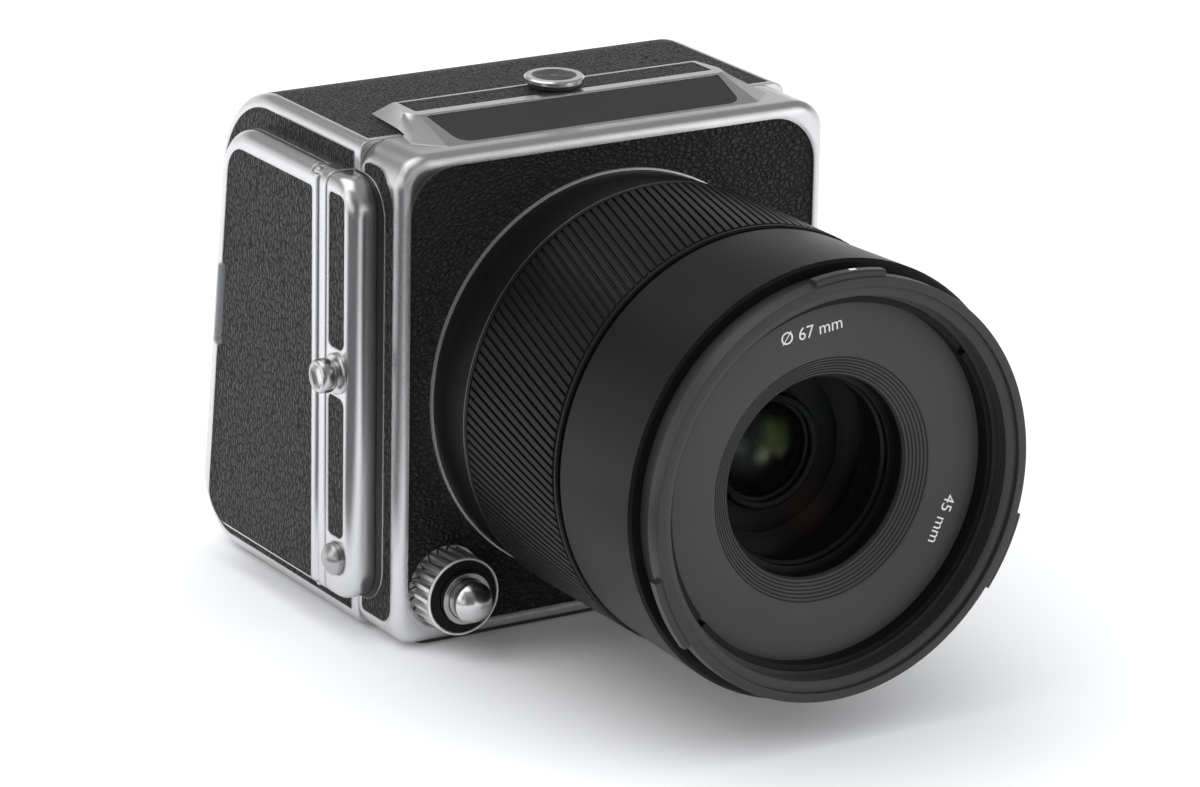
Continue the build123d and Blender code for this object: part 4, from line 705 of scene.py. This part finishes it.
def makeStuds():
    s = stud
    for side, x, depth in s["places"]:
        bm = bmesh.new()
        turn(bm, [
            (0.0, s["rear"]), (s["flange"] - s["flangeTaper"], s["rear"]), (s["flange"], s["flangeFull"]),
            *stepsFrom(s["flange"], s["flangeFront"], s["flangeCorner"]),
            (s["neck"], s["neckFrom"]), (s["neck"], s["neckTo"]),
            *stepsFrom(s["head"], s["headRear"], s["headBack"]),
            *stepsFrom(s["head"], s["end"], s["headFront"]),
            *stepsFrom(s["socket"], s["end"], s["socketEdge"]),
        ], s["steps"], closed=False)
        middle = s["end"] - s["socketTop"] - s["socketDepth"] / 2
        hexagon = bmesh.ops.create_cone(
            bm, cap_ends=True, segments=6, radius1=s["socket"], radius2=s["socket"], depth=s["socketDepth"],
            matrix=Matrix.Translation((0.0, 0.0, middle)))
        faces = {f for v in hexagon["verts"] for f in v.link_faces}
        upwards = sorted(faces, key=lambda f: f.calc_center_median().z)
        upwards[0].material_index = 1
        bmesh.ops.delete(bm, geom=[upwards[-1]], context="FACES_ONLY")
        # the round hole in the head is joined to the open top of the hexagon
        rimFloor = s["end"] - s["rimBand"]
        rings = [e for e in bm.edges if e.is_boundary and min(v.co.z for v in e.verts) > rimFloor]
        bmesh.ops.bridge_loops(bm, edges=rings)
        place = axisPlace(x, depth, s["z"], side)
        replaced = ["strap_studs"] if side == "left" else ()
        finished(bm, "studDetailed." + side, place, [steel, fluteSteel], "camera_body", replaced)


# Side button: a flat dome on a short straight skirt
sideButton = {"x": -49.3, "depth": -11.8, "z": 15.0}
sideButtonShape = {"radius": 2.9, "edge": 0.95, "rise": 1.45, "rear": -2.8}


def makeSideButton():
    s = sideButton
    bm = bmesh.new()
    turn(bm, dome(**sideButtonShape), 64, closed=False)
    place = axisPlace(s["x"], s["depth"], s["z"], "left")
    finished(bm, "sideButtonDomed", place, [buttonSteel], "side_button_body", ["side_button"])


# Latch: a dark disc of fine rings let into the button
latch = {
    "depth": -21.7, "floor": 94.1, "radius": 3.95, "height": 0.2, "margin": 0.3, "middle": 0.9, "rings": 5,
    "ringDepth": 0.12, "ringShare": 0.5, "steps": 64,
}


def makeLatchInset():
    s = latch
    bm = bmesh.new()
    rings = grooves(
        (s["radius"] - s["margin"], s["height"]), (s["middle"], s["height"]), s["rings"],
        (0.0, -s["ringDepth"]), s["ringShare"])
    turn(bm, [(0.0, 0.0), (s["radius"], 0.0), (s["radius"], s["height"]), *rings, (0.0, s["height"])],
         s["steps"], closed=False)
    place = axisPlace(0.0, s["depth"], s["floor"], "top")
    finished(bm, "latchInset", place, [darkInset], "latch_body", (), 25.0)


# Plain white marks: the hood's index and two sizes
marks = {
    "sizeText": "Ø 67 mm", "lengthText": "45 mm", "height": 2.35, "fontPerHeight": 1.35, "thickness": 0.01,
    "lift": 0.015, "radius": 26.8, "sizeAngle": 97.0, "lengthAngle": -24.0, "indexX": 1.0, "indexWidth": 1.3,
    "indexRear": 71.5, "indexFront": 72.3, "indexRadius": 38.1, "indexSunk": 0.1, "indexProud": 0.03,
}


def makeText(words, angle, name):
    curve = bpy.data.curves.new(name, "FONT")
    curve.body = words
    curve.size = marks["height"] * marks["fontPerHeight"]
    curve.align_x = "CENTER"
    curve.align_y = "CENTER"
    curve.extrude = marks["thickness"]
    curve.resolution_u = 4
    holder = linked(name + "Curve", curve)
    bpy.context.view_layer.update()
    mesh = bpy.data.meshes.new_from_object(holder.evaluated_get(bpy.context.evaluated_depsgraph_get()))
    bpy.data.objects.remove(holder)
    mesh.name = name
    lift = Matrix.Translation((0.0, marks["radius"], facePlate["front"] + marks["lift"]))
    mesh.transform(lensPlace @ Matrix.Rotation(math.radians(angle - 90.0), 4, "Z") @ lift)
    mesh.materials.clear()
    mesh.materials.append(whiteInk.material)
    piece = linked(name, mesh)
    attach(piece, "camera_body")


def makeIndex():
    s = marks
    bm = bmesh.new()
    span = s["indexWidth"] / s["indexRadius"]
    start = math.pi / 2 - s["indexX"] / s["indexRadius"] - span / 2
    inner = s["indexRadius"] - s["indexSunk"]
    outer = s["indexRadius"] + s["indexProud"]
    turn(bm, [
        (inner, s["indexRear"]), (outer, s["indexRear"]), (outer, s["indexFront"]), (inner, s["indexFront"]),
    ], 3, span, start)
    finished(bm, "hoodIndex", lensPlace, [whiteInk], "camera_body")


makeFocusRing()
makeFrontRim()
makeFacePlate()
makeThroat()
makeCell()
makeWheel()
makeStuds()
makeSideButton()
makeLatchInset()
makeText(marks["sizeText"], marks["sizeAngle"], "threadSizeMark")
makeText(marks["lengthText"], marks["lengthAngle"], "focalLengthMark")
makeIndex()
print("pieces made")


# Studio: a pale floor, a white world and dark cards, in metres
stageLook = {"floorDrop": 0.00002, "floorSize": 6.0, "floorColor": (0.97, 0.97, 0.97)}
worldLook = {
    "white": (1.0, 1.0, 1.0), "whiteUpTo": 0.05, "dimFrom": 0.5, "overhead": 0.3,
    "fillColor": (0.97, 0.98, 1.0), "fill": 1.03,
}
cardGrey = paint("darkCard", (0.11, 0.11, 0.11), 0.9)
# corners on the floor and above it
cards = {
    "floorCard": [(-0.9, -0.9, 0.002), (-0.085, -0.9, 0.002), (-0.9, 0.3, 0.002), (-0.1, 0.02, 0.002)],
    "standingCard": [(-0.75, -0.5, 0.0), (-0.15, -0.9, 0.0), (-0.75, -0.5, 0.7), (-0.15, -0.9, 0.7)],
}


def makeFloor():
    bm = bmesh.new()
    bmesh.ops.create_grid(bm, x_segments=1, y_segments=1, size=stageLook["floorSize"])
    bmesh.ops.translate(bm, verts=bm.verts, vec=(0.0, 0.0, cadBox[0][2] - stageLook["floorDrop"]))
    floor = linked("studioFloor", meshFrom(bm, "studioFloor"))
    finish = Finish("floorPaper", specular=0.1, rough=0.9, color=stageLook["floorColor"])
    floor.data.materials.append(finish.material)


def makeWorld():
    # White as a background; metal and glass see it white near the horizon and dim overhead.
    world = bpy.data.worlds.new("studioWorld")
    world.use_nodes = True
    scene.world = world
    sky = NodeTree(world.node_tree)

    def ray(kind):
        return sky.node("ShaderNodeLightPath", output=kind)

    height = sky.part(sky.node("ShaderNodeTexCoord", output="Generated"), 2)
    dim = sky.node("ShaderNodeMapRange", {
        "Value": height, "From Min": worldLook["whiteUpTo"], "From Max": worldLook["dimFrom"],
        "To Min": 1.0, "To Max": worldLook["overhead"]}, interpolation_type="SMOOTHSTEP")
    backdrop = sky.node("ShaderNodeBackground", {"Color": worldLook["white"], "Strength": 1.0})
    studio = sky.node("ShaderNodeBackground", {"Color": worldLook["white"], "Strength": dim})
    fill = sky.node("ShaderNodeBackground", {"Color": worldLook["fillColor"], "Strength": worldLook["fill"]})
    mirrored = ray("Is Glossy Ray").maths("MAXIMUM", ray("Is Transmission Ray"))
    lit = sky.node("ShaderNodeMixShader", {0: mirrored, 1: fill, 2: studio})
    shown = sky.node("ShaderNodeMixShader", {0: ray("Is Camera Ray"), 1: lit, 2: backdrop})
    sky.feed(sky.found("OUTPUT_WORLD").inputs["Surface"], shown)


def makeCard(name, corners):
    # A dark card that only reflections see, for the dark streaks in polished metal.
    bm = bmesh.new()
    bmesh.ops.create_grid(bm, x_segments=1, y_segments=1, size=0.5)
    for vert, corner in zip(bm.verts, corners):
        vert.co = corner
    card = linked(name, meshFrom(bm, name))
    card.data.materials.append(cardGrey.material)
    for kind in ("camera", "diffuse", "transmission", "shadow", "volume_scatter"):
        setattr(card, "visible_" + kind, False)


lamps = {
    "overhead": {"at": (-0.25, 0.25, 0.9), "aim": (0.0, 0.0, 0.05), "size": (0.9, 0.9), "watts": 3.4},
    "keyLeft": {"at": (-0.9, 0.1, 0.55), "aim": (0.0, 0.0, 0.05), "size": (0.5, 0.7), "watts": 1.2},
    "frontRight": {"at": (0.7, -0.9, 0.5), "aim": (0.0, -0.05, 0.05), "size": (0.35, 0.7), "watts": 1.0},
}


def makeLamp(name, at, aim, size, watts):
    data = bpy.data.lights.new(name, "AREA")
    data.shape = "RECTANGLE"
    data.size, data.size_y = size
    data.energy = watts
    lamp = linked(name, data)
    lamp.location = at
    lamp.rotation_euler = (Vector(aim) - Vector(at)).to_track_quat("-Z", "Y").to_euler()


# Where the camera stood and how it was turned, worked out from the photograph; in millimetres, degrees
# and pixels of its frame
view = {
    "at": (-502.15, -841.65, 350.19), "yaw": 31.97, "pitch": 18.02, "roll": 1.16, "focalPixels": 5622.85,
    "widthPixels": 1200.0, "centre": (604.12, 386.55), "middle": (600.0, 393.5), "sensorWidth": 36.0,
    "clip": (0.05, 50.0),
}


def makeCamera():
    s = view
    data = bpy.data.cameras.new("photoCamera")
    camera = linked("photoCamera", data)
    scene.camera = camera
    data.sensor_width = s["sensorWidth"]
    data.lens = s["sensorWidth"] * s["focalPixels"] / s["widthPixels"]
    data.shift_x = (s["middle"][0] - s["centre"][0]) / s["widthPixels"]
    data.shift_y = (s["centre"][1] - s["middle"][1]) / s["widthPixels"]
    data.clip_start, data.clip_end = s["clip"]
    yaw, pitch, roll = (math.radians(s[key]) for key in ("yaw", "pitch", "roll"))
    forward = Vector((math.sin(yaw) * math.cos(pitch), math.cos(yaw) * math.cos(pitch), -math.sin(pitch)))
    right = Vector((math.cos(yaw), -math.sin(yaw), 0.0))
    up = right.cross(forward)
    rolledRight = right * math.cos(roll) + up * math.sin(roll)
    rolledUp = up * math.cos(roll) - right * math.sin(roll)
    turned = Matrix((rolledRight, rolledUp, -forward)).transposed().to_4x4()
    camera.matrix_world = Matrix.Translation(Vector(s["at"]) * mm) @ turned


makeFloor()
makeWorld()
for name, corners in cards.items():
    makeCard(name, corners)
for name, lamp in lamps.items():
    makeLamp(name, **lamp)
makeCamera()
scene.view_settings.view_transform = "Standard"
print("stage ready")
